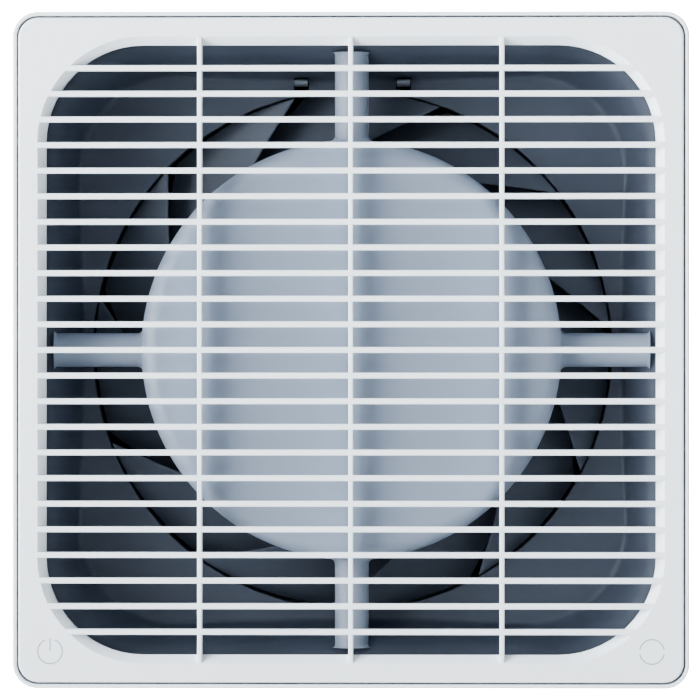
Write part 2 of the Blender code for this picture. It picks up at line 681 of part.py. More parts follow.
def make_stator(steel, copper):
    """A laminated core with a T-shaped tooth for each coil."""
    pitch = 360.0 / STATOR_TEETH
    yoke, neck_end, shoe_inner, shoe_edge, face = 16.0, 26.0, 26.6, 28.5, 28.8
    neck = math.degrees(math.asin(2.0 / yoke))
    neck_out = math.degrees(math.asin(2.0 / neck_end))
    shoe = 25.0
    marks = [
        (yoke, -neck), (neck_end, -neck_out), (shoe_inner, -shoe), (shoe_edge, -shoe), (face, -shoe / 2),
        (face, 0.0), (face, shoe / 2), (shoe_edge, shoe), (shoe_inner, shoe), (neck_end, neck_out),
        (yoke, neck), (yoke, pitch / 2),
    ]
    outline = []
    for tooth in range(STATOR_TEETH):
        for radius, offset in marks:
            angle = math.radians(pitch * tooth + offset)
            outline.append((radius * math.cos(angle), radius * math.sin(angle)))
    core = prism("stator_core", outline, "Y", depth(CORE_FRONT), depth(CORE_BACK), steel)
    bore_radius = TUBE_RADIUS + GAP
    bore = turned("stator_bore", [(bore_radius, depth(30.0)), (bore_radius, depth(64.0))], steel, 28, False)
    combine(core, "DIFFERENCE", [bore])
    middle_y = depth((CORE_FRONT + CORE_BACK) / 2)
    for tooth in range(STATOR_TEETH):
        coil = make_coil(f"stator_coil_{tooth + 1}", copper)
        put(coil, y=middle_y, turn=(1, -pitch * tooth))


def make_coil(name, copper):
    """A winding round one tooth, which runs along local +X."""
    inner_side, inner_end = 2.4, 9.4
    thickness = 1.9
    loops = []
    for side, end, x in (
        (inner_side, inner_end, 17.0), (inner_side + thickness, inner_end + thickness, 17.3),
        (inner_side + thickness + 0.4, inner_end + thickness, 25.0), (inner_side, inner_end, 25.4),
    ):
        cut = 0.8 if side > inner_side else 0.2
        loops.append([
            (x, -end, -side + cut), (x, -end, side - cut), (x, -end + cut, side), (x, end - cut, side),
            (x, end, side - cut), (x, end, -side + cut), (x, end - cut, -side), (x, -end + cut, -side),
        ])
    return mesh_from_loops(name, loops, True, copper)


def make_rotor(steel, magnet):
    can_outer, can_inner = 33.4, 32.2
    can_front, can_floor, can_back = depth(35.0), depth(61.6), depth(63.2)
    profile = [
        (can_inner, can_front), (can_outer, can_front), (can_outer, can_back - 0.6),
        (can_outer - 1.0, can_back), (RUNNING_BORE, can_back), (RUNNING_BORE, can_floor),
        (can_inner, can_floor),
    ]
    can = turned("rotor_can", profile, steel, 26)
    ring = [(29.3, depth(38.0)), (31.9, depth(38.0)), (31.9, depth(58.0)), (29.3, depth(58.0))]
    magnets = turned("magnet_ring", ring, magnet, 26)
    shaft_profile = [
        (SHAFT_RADIUS - 0.4, depth(SHAFT_FRONT)), (SHAFT_RADIUS, depth(SHAFT_FRONT + 0.4)),
        (SHAFT_RADIUS, depth(SHAFT_BACK - 0.4)), (SHAFT_RADIUS - 0.4, depth(SHAFT_BACK)),
    ]
    shaft = turned("rotor_shaft", shaft_profile, steel, 16, False)
    clip_ring = [
        (RUNNING_BORE, depth(27.2)), (4.6, depth(27.2)), (4.6, depth(28.0)), (RUNNING_BORE, depth(28.0)),
    ]
    clip = turned("shaft_circlip", clip_ring, steel, 16)
    nut_bore = RUNNING_BORE / math.cos(math.radians(30.0))
    nut_front, nut_back = depth(HUB_BACK + GAP), depth(HUB_BACK + 3.3)
    nut_ring = [(nut_bore, nut_front), (4.9, nut_front), (4.9, nut_back), (nut_bore, nut_back)]
    nut = turned("impeller_nut", nut_ring, steel, 6)
    return [can, magnets, shaft, clip, nut]


def make_impeller(dark):
    bore = 33.7
    profile = [
        (bore, depth(HUB_FRONT)), (HUB_RADIUS - 0.6, depth(HUB_FRONT)), (HUB_RADIUS, depth(HUB_FRONT + 0.6)),
        (HUB_RADIUS, depth(HUB_BACK - 3.0)), (HUB_RADIUS - 3.0, depth(HUB_BACK)),
        (RUNNING_BORE, depth(HUB_BACK)), (RUNNING_BORE, depth(HUB_BACK - 2.5)), (bore, depth(HUB_BACK - 2.5)),
    ]
    hub = turned("impeller", profile, dark, 36)
    first = make_blade("blade_1", dark)
    blades = [first]
    for index in range(1, BLADE_COUNT):
        blades.append(put(copy_of(first, f"blade_{index + 1}"), turn=(1, -360.0 / BLADE_COUNT * index)))
    combine(hub, "UNION", blades)
    return hub


def blade_point(radius, along, side):
    """A point of the blade: along runs from leading to trailing edge, side is -1 at the front face."""
    inward = BLADE_TIP - radius
    outer = min(inward, SWEEP_TURN)
    rest = inward - outer
    leading = FIRST_TIP_ANGLE + SWEEP * outer + SWEEP_GROWTH * outer ** 2
    leading += (SWEEP + 2.0 * SWEEP_GROWTH * SWEEP_TURN) * rest - SWEEP_EASE * rest ** 2
    share = inward / (BLADE_TIP - BLADE_ROOT)
    chord = TIP_CHORD_ANGLE + (ROOT_CHORD_ANGLE - TIP_CHORD_ANGLE) * share
    angle = math.radians(leading + chord * along)
    level = BLADE_FRONT + (BLADE_BACK - BLADE_FRONT) * (1.0 - (1.0 - along) ** 1.25)
    swell = BLADE_THICKNESS / 2 * (0.35 + 0.65 * math.sin(math.pi * (0.15 + 0.7 * along)))
    slope = math.atan2(BLADE_BACK - BLADE_FRONT, radius * math.radians(chord))
    angle -= side * swell * math.sin(slope) / radius
    y = depth(level) + side * swell * math.cos(slope)
    return (radius * math.cos(angle), y, radius * math.sin(angle))


def make_blade(name, dark):
    """Loops round the blade's section, from the root inside the hub's wall to the tip."""
    stations = 5
    steps = 4
    loops = []
    for station in range(stations):
        radius = BLADE_ROOT + (BLADE_TIP - BLADE_ROOT) * station / (stations - 1)
        front = [blade_point(radius, step / steps, -1) for step in range(steps + 1)]
        back = [blade_point(radius, step / steps, 1) for step in range(steps, -1, -1)]
        loops.append(front + back)
    return mesh_from_loops(name, loops, False, dark, thin=True)


def wire(name, points, radius, material, resolution=1):
    """A round wire through points in millimetres, capped at both ends."""
    curve = bpy.data.curves.new(name, "CURVE")
    curve.dimensions = "3D"
    curve.bevel_depth = radius * MM
    curve.bevel_resolution = resolution
    curve.use_fill_caps = True
    spline = curve.splines.new("POLY")
    spline.points.add(len(points) - 1)
    for slot, point in zip(spline.points, points):
        slot.co = (*[value * MM for value in point], 1.0)
    curve.materials.append(material)
    item = bpy.data.objects.new(name, curve)
    bpy.context.scene.collection.objects.link(item)
    return item


def smooth_route(route, pieces=3):
    """Points on a smooth curve through the route's own points."""
    ends = [Vector(point) for point in route]
    ends = [2 * ends[0] - ends[1]] + ends + [2 * ends[-1] - ends[-2]]
    points = []
    for before, start, end, after in zip(ends, ends[1:], ends[2:], ends[3:]):
        for step in range(pieces):
            share = step / pieces
            bend = 2 * before - 5 * start + 4 * end - after
            twist = 3 * start - before - 3 * end + after
            points.append(0.5 * (2 * start + (end - before) * share + bend * share ** 2 + twist * share ** 3))
    return points + [ends[-2]]


def make_motor_lead(black):
    """From the motor's board, out behind the lower arm, through the well's wall to the control board."""
    route = [
        (0.0, depth(25.4), -44.0), (0.0, depth(25.8), -49.0), (0.0, depth(28.4), -53.0),
        (0.0, depth(LEAD_DEPTH), -59.0), (0.0, depth(LEAD_DEPTH), -70.0), (0.0, depth(LEAD_DEPTH), -82.0),
        (0.0, depth(LEAD_DEPTH), -90.0), (4.5, depth(31.4), -93.6), (14.0, depth(34.0), -94.0),
        (30.0, depth(38.0), -93.6), (50.0, depth(43.0), -93.0), (64.0, depth(45.2), -90.5),
        (72.0, depth(46.3), -85.5),
    ]
    return wire("motor_lead", smooth_route(route), LEAD_RADIUS, black)


def make_touch_boards(green):
    low, high = TOUCH_LOW, TOUCH_HIGH
    corners = [
        (low + TOUCH_CORNER, low), (high, low), (high, high - TOUCH_CORNER),
        (high - TOUCH_CORNER, high), (low, high), (low, low + TOUCH_CORNER),
    ]
    for name, side in (("power", -1), ("mode", 1)):
        outline = [(side * x, -z) for x, z in corners]
        prism(f"{name}_touch_board", outline, "Y", depth(PLATE_THICKNESS + GAP), depth(TOUCH_BACK), green)


def make_control_board(green, blue, pale):
    low, high = BOARD_LOW, BOARD_HIGH
    block("control_board", (low, high), (BOARD_BACK - BOARD_THICKNESS, BOARD_BACK), (-high, -low), green)
    front = BOARD_BACK - BOARD_THICKNESS - GAP
    block("board_transformer", (74.0, 86.0), (front - 8.4, front), (-76.5, -65.5), pale)
    ring = [(3.6, front), (4.0, front - 0.4), (4.0, front - 8.2), (3.5, front - 8.6)]
    capacitor = turned("board_capacitor", ring, blue, 20, False)
    put(capacitor, x=80.0, z=-82.5)


def make_terminal_block(pale, steel):
    front = BLOCK_FRONT
    body = block("terminal_block", (76.0, 94.0), (front, -CASING_FLOOR - GAP), (80.0, 92.0), pale)
    cutters = []
    for index in range(3):
        x = 79.6 + 5.4 * index
        well = turned("terminal_well", [(2.1, front - 1.0), (2.1, front + 5.4)], pale, 12, False)
        cutters.append(put(well, x=x, z=87.5))
        entry = block("wire_entry", (x - 1.4, x + 1.4), (front + 7.0, front + 10.0), (78.0, 84.0), pale)
        cutters.append(entry)
        head_profile = [(1.5, front + 2.0), (1.8, front + 2.3), (1.8, front + 5.1)]
        head = turned(f"terminal_screw_{index + 1}", head_profile, steel, 12, False)
        put(head, x=x, z=87.5)
    combine(body, "DIFFERENCE", cutters)


def make_cable_entry(rubber, pale, steel):
    ring = [(3.2, -0.3), (5.6, -0.3), (5.6, -2.8), (8.2, -2.8), (8.2, -4.6), (6.0, -6.0), (3.2, -6.0)]
    put(turned("cable_grommet", ring, rubber, 16), x=CLAMP_X, z=GROMMET_Z)
    outline = [
        (-9.0, -5.8), (-9.0, -7.8), (-5.2, -7.8), (-3.4, -10.6), (3.4, -10.6), (5.2, -7.8),
        (9.0, -7.8), (9.0, -5.8), (4.2, -5.8), (2.6, -8.8), (-2.6, -8.8), (-4.2, -5.8),
    ]
    clamp = prism("cable_clamp", outline, "Z", -3.0, 3.0, pale)
    put(clamp, x=CLAMP_X, z=CLAMP_Z)
    cutters = []
    for index, side in enumerate((-1, 1)):
        hole = turned("clamp_hole", [(1.3, -12.0), (1.3, -4.0)], pale, 10, False)
        cutters.append(put(hole, x=CLAMP_X + side * CLAMP_SCREW, z=CLAMP_Z))
        item = screw(f"clamp_screw_{index + 1}", 1.6, 1.5, 1.0, 6.0, steel)
        put(item, x=CLAMP_X + side * CLAMP_SCREW, y=-8.1, z=CLAMP_Z)
    combine(clamp, "DIFFERENCE", cutters)


def main():
    clear_scene()
    white = plastic("white_plastic", (0.80, 0.82, 0.83), 0.45)
    pale = plastic("pale_plastic", (0.62, 0.66, 0.72), 0.5)
    dark = plastic("charcoal_plastic", (0.05, 0.065, 0.085), 0.55)
    steel = plastic("zinc_steel", (0.62, 0.63, 0.65), 0.35, 1.0)
    alloy = plastic("cast_alloy", (0.55, 0.56, 0.58), 0.5, 1.0)
    copper = plastic("copper_wire", (0.70, 0.32, 0.14), 0.35, 1.0)
    magnet = plastic("ferrite", (0.06, 0.06, 0.065), 0.7)
    rubber = plastic("black_rubber", (0.02, 0.02, 0.02), 0.85)
    green = plastic("circuit_board", (0.02, 0.16, 0.07), 0.4)
    blue = plastic("capacitor_sleeve", (0.02, 0.04, 0.12), 0.35)

    make_front_grille(white)
    make_outer_casing(white)
    make_inner_shroud(dark)
    make_catches(pale)
    make_fan_duct(dark)
    make_duct_screws(steel)
    make_shutter(dark, steel)
    make_motor_housing(pale)
    make_motor_flange(alloy)
    make_motor_fixings(rubber, steel)
    make_arm_screws(steel)
    make_motor_board(green)
    make_motor_lead(rubber)
    make_bearing("front_bearing", FLANGE_BACK + GAP, steel)
    make_bearing("rear_bearing", TUBE_END - 5.5, steel)
    washer_ring = [(5.0, depth(34.2)), (7.9, depth(34.6)), (7.9, depth(35.0)), (5.0, depth(34.6))]
    turned("preload_washer", washer_ring, steel, 16)
    make_stator(steel, copper)
    axis = axis_empty("impeller_axis", depth(BLADE_FRONT))
    ride_on(axis, make_impeller(dark), *make_rotor(steel, magnet))
    make_touch_boards(green)
    make_control_board(green, blue, pale)
    make_terminal_block(pale, steel)
    make_cable_entry(rubber, pale, steel)


main()
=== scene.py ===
"""Looks of the bathroom extractor fan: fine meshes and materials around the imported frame.

Lengths in the constants are millimetres, and MM turns them into Blender's metres. The wall is the
plane y = 0, the front faces -Y and the fan's axis is the Y axis. A "depth" is measured from the
front face towards the wall.
"""
import json
import math

import bmesh
import bpy
from mathutils import Matrix, Vector


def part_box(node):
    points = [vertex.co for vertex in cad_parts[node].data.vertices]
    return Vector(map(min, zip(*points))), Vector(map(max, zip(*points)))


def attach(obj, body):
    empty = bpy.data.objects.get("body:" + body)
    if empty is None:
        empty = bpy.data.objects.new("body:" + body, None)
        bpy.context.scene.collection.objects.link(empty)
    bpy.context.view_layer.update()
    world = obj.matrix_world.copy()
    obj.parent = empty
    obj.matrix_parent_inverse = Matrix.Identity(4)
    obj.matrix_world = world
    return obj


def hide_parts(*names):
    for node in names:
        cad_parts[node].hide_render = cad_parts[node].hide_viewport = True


MM = 0.001
CORNER_STEPS = 14              # facets in a rounded square's corner
ROUND_STEPS = 4                # facets in a small rounded edge
RING_STEPS = 128               # facets round a large turned piece
SIDE_STEPS = 10                # stretches along a pinched side
BAR_STEPS = 3                  # facets in a thin bar's corner

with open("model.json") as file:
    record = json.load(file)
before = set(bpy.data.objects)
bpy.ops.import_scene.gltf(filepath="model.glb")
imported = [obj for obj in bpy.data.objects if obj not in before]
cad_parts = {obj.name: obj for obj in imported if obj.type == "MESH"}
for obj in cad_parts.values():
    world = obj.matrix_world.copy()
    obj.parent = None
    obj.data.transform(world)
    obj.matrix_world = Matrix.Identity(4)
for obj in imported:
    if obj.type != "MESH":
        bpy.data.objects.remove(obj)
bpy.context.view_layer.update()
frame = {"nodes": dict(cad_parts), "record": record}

# The driving sizes are read from the frame's boxes.
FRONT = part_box("front_grille")[0].y / MM
PLATE_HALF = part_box("front_grille")[1].x / MM
CASING_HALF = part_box("outer_casing")[1].x / MM
DUCT_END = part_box("fan_duct")[1].y / MM


def depth(value):
    """The y of a point that lies this far behind the front face."""
    return value + FRONT


# ---------------------------------------------------------------- mesh helpers

def arc(centre, radius, start, end, steps):
    """Points on a circular arc in any two coordinates; the angles are in degrees."""
    points = []
    for step in range(steps + 1):
        angle = math.radians(start + (end - start) * step / steps)
        points.append((centre[0] + radius * math.cos(angle), centre[1] + radius * math.sin(angle)))
    return points


def square_loop(half, radius, y, pinch=0.0):
    """A square with round corners, anticlockwise from the front; its sides may be pinched in."""
    straight = half - radius
    side_steps = SIDE_STEPS if pinch else 1
    points = []
    for corner in range(4):
        middle = math.radians(45.0 + 90.0 * corner)
        centre = (math.copysign(straight, math.cos(middle)), math.copysign(straight, math.sin(middle)))
        points += arc(centre, radius, 90.0 * corner, 90.0 * corner + 90.0, CORNER_STEPS)
        turn = math.radians(90.0 * corner + 90.0)
        for step in range(1, side_steps):
            along = straight - 2.0 * straight * step / side_steps
            out = half - pinch * (1.0 - (along / straight) ** 2)
            points.append((out * math.cos(turn) + along * math.sin(turn),
                           out * math.sin(turn) - along * math.cos(turn)))
    return [(x, y, z) for x, z in points]


def round_loop(radius, y, count=RING_STEPS):
    """A circle of points round the Y axis."""
    angles = [2.0 * math.pi * (index + 0.5) / count for index in range(count)]
    return [(radius * math.cos(angle), y, radius * math.sin(angle)) for angle in angles]


def lofted(name, loops, closed=True):
    """A body through equal loops of points in millimetres; an open one is capped."""
    work = bmesh.new()
    rows = [[work.verts.new([value * MM for value in point]) for point in loop] for loop in loops]
    count = len(rows[0])
    for row, following in zip(rows, rows[1:] + rows[:1] if closed else rows[1:]):
        for index in range(count):
            other = (index + 1) % count
            work.faces.new((row[index], row[other], following[other], following[index]))
    if not closed:
        work.faces.new(rows[0])
        work.faces.new(rows[-1])
    bmesh.ops.recalc_face_normals(work, faces=work.faces)
    mesh = bpy.data.meshes.new(name)
    work.to_mesh(mesh)
    work.free()
    item = bpy.data.objects.new(name, mesh)
    bpy.context.scene.collection.objects.link(item)
    return item


def turned(name, profile, count=RING_STEPS, closed=True):
    """A body turned about the Y axis from (radius, y) points."""
    return lofted(name, [round_loop(radius, y, count) for radius, y in profile], closed)


def prism(name, outline, axis, start, end):
    """An outline pushed along an axis; its points are the other two coordinates in x, y, z order."""
    def place(first, second, along):
        return {"X": (along, first, second), "Y": (first, along, second), "Z": (first, second, along)}[axis]
    loops = [[place(first, second, along) for first, second in outline] for along in (start, end)]
    return lofted(name, loops, False)


def rounded_bar(width, height, radius):
    """A rectangle about the origin with rounded corners, as (across, up) points."""
    x, y = width / 2.0 - radius, height / 2.0 - radius
    points = []
    for corner, centre in enumerate(((x, y), (-x, y), (-x, -y), (x, -y))):
        points += arc(centre, radius, 90.0 * corner, 90.0 * corner + 90.0, BAR_STEPS)
    return points


def move(item, x=0.0, y=0.0, z=0.0, turn=None):
    """Shift a mesh's points, after an optional (axis letter, degrees) turn."""
    change = Matrix.Translation((x * MM, y * MM, z * MM))
    if turn:
        change = change @ Matrix.Rotation(math.radians(turn[1]), 4, turn[0])
    item.data.transform(change)
    return item


def combine(target, operation, tools):
    """Join the tools to the target, or cut them out of it, and remove the tools."""
    group = bpy.data.collections.new("tools")
    bpy.context.scene.collection.children.link(group)
    for tool in tools:
        bpy.context.scene.collection.objects.unlink(tool)
        group.objects.link(tool)
    modifier = target.modifiers.new(operation.title(), "BOOLEAN")
    modifier.operation = operation
    modifier.operand_type = "COLLECTION"
    modifier.collection = group
    modifier.solver = "EXACT"
    bpy.context.view_layer.update()
    result = bpy.data.meshes.new_from_object(target.evaluated_get(bpy.context.evaluated_depsgraph_get()))
    target.modifiers.clear()
    target.data = result
    for tool in tools:
        bpy.data.objects.remove(tool)
    bpy.data.collections.remove(group)


def shade(item, angle=38.0):
    """Smooth the round stretches and keep the flat ones flat."""
    item.data.shade_smooth()
    item.data.set_sharp_from_angle(angle=math.radians(angle))
    weighted = item.modifiers.new("Weighted normals", "WEIGHTED_NORMAL")
    weighted.keep_sharp = True


def dress(item, material, body, slot, *nodes):
    """Give a finished piece its material and its body, and hide the CAD nodes it stands for; the slot is not
    used.
    """
    item.data.materials.clear()
    item.data.materials.append(material)
    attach(item, body)
    if nodes:
        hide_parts(*nodes)


# ---------------------------------------------------------------- materials

DRIFT_DETAIL = 4.0
GRAIN_DETAIL = 3.0
GRAIN_STRENGTH = 0.6
GLOSS_SPREAD = 0.12            # share by which the roughness varies


def surface(name, colour, roughness, metallic=0.0, variation=0.03, mottle=60.0, grain=2600.0,
            grain_height=0.00002, coat=0.0):
    """A moulded, cast or ground surface: slow colour drift, uneven gloss and a fine grain.

    The mottle and the grain are noise scales per metre, and the grain's height is in metres.
    """
    material = bpy.data.materials.new(name)
    material.use_nodes = True
    tree = material.node_tree
    shader = tree.nodes["Principled BSDF"]
    shader.inputs["Metallic"].default_value = metallic
    shader.inputs["Coat Weight"].default_value = coat
    place = tree.nodes.new("ShaderNodeTexCoord")

    drift = tree.nodes.new("ShaderNodeTexNoise")
    drift.inputs["Scale"].default_value = mottle
    drift.inputs["Detail"].default_value = DRIFT_DETAIL
    tree.links.new(place.outputs["Object"], drift.inputs["Vector"])
    blend = tree.nodes.new("ShaderNodeMix")
    blend.data_type = "RGBA"
    blend.inputs["A"].default_value = (*[value * (1.0 - variation) for value in colour], 1.0)
    blend.inputs["B"].default_value = (*[min(1.0, value * (1.0 + variation)) for value in colour], 1.0)
    tree.links.new(drift.outputs["Fac"], blend.inputs["Factor"])
    tree.links.new(blend.outputs["Result"], shader.inputs["Base Color"])

    fine = tree.nodes.new("ShaderNodeTexNoise")
    fine.inputs["Scale"].default_value = grain
    fine.inputs["Detail"].default_value = GRAIN_DETAIL
    tree.links.new(place.outputs["Object"], fine.inputs["Vector"])
    gloss = tree.nodes.new("ShaderNodeMapRange")
    gloss.inputs["To Min"].default_value = roughness * (1.0 - GLOSS_SPREAD)
    gloss.inputs["To Max"].default_value = min(1.0, roughness * (1.0 + GLOSS_SPREAD))
    tree.links.new(fine.outputs["Fac"], gloss.inputs["Value"])
    tree.links.new(gloss.outputs["Result"], shader.inputs["Roughness"])
    bump = tree.nodes.new("ShaderNodeBump")
    bump.inputs["Distance"].default_value = grain_height
    bump.inputs["Strength"].default_value = GRAIN_STRENGTH
    tree.links.new(fine.outputs["Fac"], bump.inputs["Height"])
    tree.links.new(bump.outputs["Normal"], shader.inputs["Normal"])
    MATERIALS[name] = material
    return material


MATERIALS = {}                 # by the name of the record's slot
front_white = surface("front_white", (0.835, 0.875, 0.915), 0.42)
casing_white = surface("casing_white", (0.84, 0.875, 0.91), 0.42)
well_charcoal = surface("well_charcoal", (0.074, 0.087, 0.116), 0.55, variation=0.08)
duct_charcoal = surface("duct_charcoal", (0.044, 0.057, 0.078), 0.55, variation=0.08)
impeller_charcoal = surface("impeller_charcoal", (0.092, 0.108, 0.140), 0.5, variation=0.08)
flap_grey = surface("flap_grey", (0.11, 0.12, 0.14), 0.5, variation=0.06)
housing_pale = surface("housing_pale", (0.34, 0.385, 0.465), 0.45)
# the pale housing colour at about half strength: painted shade on the catches, which sit in the well's
# shadow
catch_painted_shade_grey = surface("catch_painted_shade_grey", (0.17, 0.19, 0.22), 0.5)
symbol_grey = surface("symbol_grey", (0.32, 0.35, 0.38), 0.55)
surface("zinc_steel", (0.62, 0.63, 0.65), 0.32, 1.0, mottle=900.0, grain=5000.0)
surface("bearing_steel", (0.55, 0.56, 0.58), 0.22, 1.0, mottle=700.0)
surface("motor_steel", (0.38, 0.39, 0.41), 0.42, 1.0, mottle=500.0)
surface("copper_wire", (0.66, 0.27, 0.10), 0.3, 1.0, mottle=1400.0, coat=0.4)
surface("ferrite", (0.055, 0.055, 0.06), 0.75, variation=0.12, mottle=1500.0)
surface("black_rubber", (0.018, 0.018, 0.019), 0.85, variation=0.15, mottle=800.0)
surface("lead_jacket", (0.03, 0.03, 0.034), 0.6, variation=0.1, mottle=500.0)
surface("cast_alloy", (0.52, 0.53, 0.55), 0.55, 1.0, variation=0.06, mottle=400.0,
        grain=1200.0, grain_height=0.00005)
surface("circuit_board", (0.012, 0.13, 0.05), 0.35, variation=0.1, mottle=1200.0, coat=0.3)
surface("capacitor_sleeve", (0.02, 0.035, 0.11), 0.3, coat=0.3)
surface("part_plastic", (0.62, 0.62, 0.57), 0.5)


def dress_cad_nodes():
    """Every CAD node takes the material named by its slot in the record; the catches instead take the pale
    housing colour at about half strength, painted shade for the shadow they sit in.
    """
    for entry in frame["record"]["subparts"]:
        for place in frame["nodes"][entry["node"]].material_slots:
            place.material = MATERIALS[entry["material_slot"]]
    for side in ("left", "right"):
        for place in frame["nodes"][f"shroud_catch_{side}"].material_slots:
            place.material = catch_painted_shade_grey


# ---------------------------------------------------------------- front grille

EDGE = 0.6                     # rounding of the plate's outer edge
OPENING_EDGE = 0.25            # rounding of the opening's edge
BEVEL_START = 234.0            # direction in degrees where the edge's rounding meets the bevel
PLATE_RADIUS = 5.9
PLATE_THICKNESS = 2.4
LIP_DEPTH = 5.0                # of the plate's turned-back edge
LIP_WALL = 1.6
LIP_CHAMFER = 0.2
OPENING_HALF = 91.5
OPENING_RADIUS = 30.7
BEVEL_HALF = 89.2              # inner edge of the bevel round the opening
BEVEL_RADIUS = 28.4
BEVEL_DEPTH = 3.2
BEVEL_EDGE = 0.7               # thickness of that edge
BEVEL_CHAMFER = 0.2
SKIRT_HALF = 90.6              # inner face of the skirt behind the bevel
SKIRT_RADIUS = 29.8
SKIRT_DEPTH = 20.0
SKIRT_WALL = 1.6
SKIRT_CHAMFER = 0.3
SLAT_COUNT = 23
SLAT_PITCH = 7.49
SLAT_FRONT = 1.75              # height of a slat's front, and of its back
SLAT_BACK = 1.3
SLAT_DEPTH = 6.0
SLAT_EDGE = 0.4                # rounding of its front edges
SLAT_CHAMFER = 0.2             # on its back edges
BAR_OVERLAP = 0.8              # of slats and ribs into the opening's wall
RIB_COUNT = 3
RIB_PITCH = 44.2
RIB_WIDTH = 1.4
RIB_SET_BACK = 0.2
RIB_DEPTH = 5.4
RIB_EDGE = 0.3
TAB_HEIGHT = 45.0              # of the tabs above and below the middle
TAB_WIDTH = 8.0
TAB_THICKNESS = 1.4
TAB_OUTER = 95.4
TAB_ROOT = 0.7                 # how far a tab runs into the plate
TAB_END_DEPTH = 18.0
BARB = 0.6                     # how far a barb stands out
BARB_SPAN = (2.6, 1.8, 1.2)    # its start, crest start and crest end, ahead of the tab's end


def opening_reach(offset):
    """Half the width of the front's opening at this distance from its middle line."""
    straight = OPENING_HALF - OPENING_RADIUS
    if abs(offset) <= straight:
        return OPENING_HALF
    return straight + math.sqrt(OPENING_RADIUS ** 2 - (abs(offset) - straight) ** 2)


def make_front_grille():
    loops = []
    for out, down in arc((-EDGE, EDGE), EDGE, -90.0, 0.0, ROUND_STEPS):
        loops.append(square_loop(PLATE_HALF + out, PLATE_RADIUS + out, depth(down)))
    lip = PLATE_HALF - LIP_WALL
    skirt = OPENING_HALF + SKIRT_WALL
    low_skirt = SKIRT_HALF + SKIRT_WALL
    for half, radius, level in (
        (PLATE_HALF, PLATE_RADIUS, LIP_DEPTH - LIP_CHAMFER),
        (PLATE_HALF - LIP_CHAMFER, PLATE_RADIUS - LIP_CHAMFER, LIP_DEPTH),
        (lip, PLATE_RADIUS - LIP_WALL, LIP_DEPTH), (lip, PLATE_RADIUS - LIP_WALL, PLATE_THICKNESS),
        (skirt, OPENING_RADIUS + SKIRT_WALL, PLATE_THICKNESS),
        (low_skirt, SKIRT_RADIUS + SKIRT_WALL, SKIRT_DEPTH - SKIRT_CHAMFER),
        (low_skirt - SKIRT_CHAMFER, SKIRT_RADIUS + SKIRT_WALL - SKIRT_CHAMFER, SKIRT_DEPTH),
        (SKIRT_HALF + SKIRT_CHAMFER, SKIRT_RADIUS + SKIRT_CHAMFER, SKIRT_DEPTH),
        (SKIRT_HALF, SKIRT_RADIUS, SKIRT_DEPTH - SKIRT_CHAMFER),
        (SKIRT_HALF, SKIRT_RADIUS, BEVEL_DEPTH + 2 * BEVEL_EDGE),
        (BEVEL_HALF + BEVEL_CHAMFER, BEVEL_RADIUS + BEVEL_CHAMFER, BEVEL_DEPTH + BEVEL_EDGE),
        (BEVEL_HALF, BEVEL_RADIUS, BEVEL_DEPTH + BEVEL_EDGE - BEVEL_CHAMFER),
        (BEVEL_HALF, BEVEL_RADIUS, BEVEL_DEPTH + 0.15),
        (BEVEL_HALF + 0.1, BEVEL_RADIUS + 0.1, BEVEL_DEPTH - 0.13),
    ):
        loops.append(square_loop(half, radius, depth(level)))
    for out, down in arc((OPENING_EDGE, OPENING_EDGE), OPENING_EDGE, BEVEL_START, 270.0, ROUND_STEPS):
        loops.append(square_loop(OPENING_HALF + out, OPENING_RADIUS + out, depth(down)))
    grille = lofted("grille_front", loops)
    pieces = []
    for index in range(SLAT_COUNT):
        height = (index - (SLAT_COUNT - 1) / 2) * SLAT_PITCH
        reach = opening_reach(abs(height) - SLAT_FRONT / 2) + BAR_OVERLAP
        front = arc((depth(SLAT_EDGE), SLAT_FRONT / 2 - SLAT_EDGE), SLAT_EDGE, 90.0, 180.0, ROUND_STEPS)
        section = front + [(y, -up) for y, up in reversed(front)]
        section += [
            (depth(SLAT_DEPTH - SLAT_CHAMFER), -SLAT_BACK / 2),
            (depth(SLAT_DEPTH), -SLAT_BACK / 2 + SLAT_CHAMFER),
            (depth(SLAT_DEPTH), SLAT_BACK / 2 - SLAT_CHAMFER),
            (depth(SLAT_DEPTH - SLAT_CHAMFER), SLAT_BACK / 2),
        ]
        pieces.append(prism("slat", [(y, height + up) for y, up in section], "X", -reach, reach))
    for index in range(RIB_COUNT):
        side = (index - (RIB_COUNT - 1) / 2) * RIB_PITCH
        reach = opening_reach(side) + BAR_OVERLAP
        middle = depth(RIB_SET_BACK + RIB_DEPTH / 2)
        outline = [(side + x, middle + y) for x, y in rounded_bar(RIB_WIDTH, RIB_DEPTH, RIB_EDGE)]
        pieces.append(prism("rib", outline, "Z", -reach, reach))
    combine(grille, "UNION", pieces + snap_tabs())
    shade(grille)
    dress(grille, front_white, "grille", "front_white", "front_grille")


def snap_tabs():
    """Four tabs behind the front, each with a barb at its end."""
    root = depth(PLATE_THICKNESS - TAB_ROOT)
    end = depth(TAB_END_DEPTH)
    start, crest_start, crest_end = [end - ahead for ahead in BARB_SPAN]
    tabs = []
    for side in (-1, 1):
        inner = side * (TAB_OUTER - TAB_THICKNESS)
        outer = side * TAB_OUTER
        outline = [
            (inner, root), (outer, root), (outer, start), (outer + side * BARB, crest_start),
            (outer + side * BARB, crest_end), (outer, end), (inner, end),
        ]
        for level in (-1, 1):
            low = level * TAB_HEIGHT - TAB_WIDTH / 2
            tabs.append(prism("tab", outline, "Z", low, low + TAB_WIDTH))
    return tabs


SYMBOL_X = 87.9                # of both symbols from the middle, left and right
SYMBOL_Z = -88.1
SYMBOL_RADIUS = 3.6
SYMBOL_LINE = 0.34             # width of the strokes
SYMBOL_PROUD = 0.03
POWER_ARC = (113.0, 427.0)     # degrees; the gap at the top holds the bar
POWER_BAR = 3.5
POWER_BAR_UP = 2.0             # the bar's middle above the symbol's
POWER_BAR_EDGE = 0.12
MODE_UPPER_ARC = (12.0, 168.0)
MODE_LOWER_ARC = (192.0, 348.0)


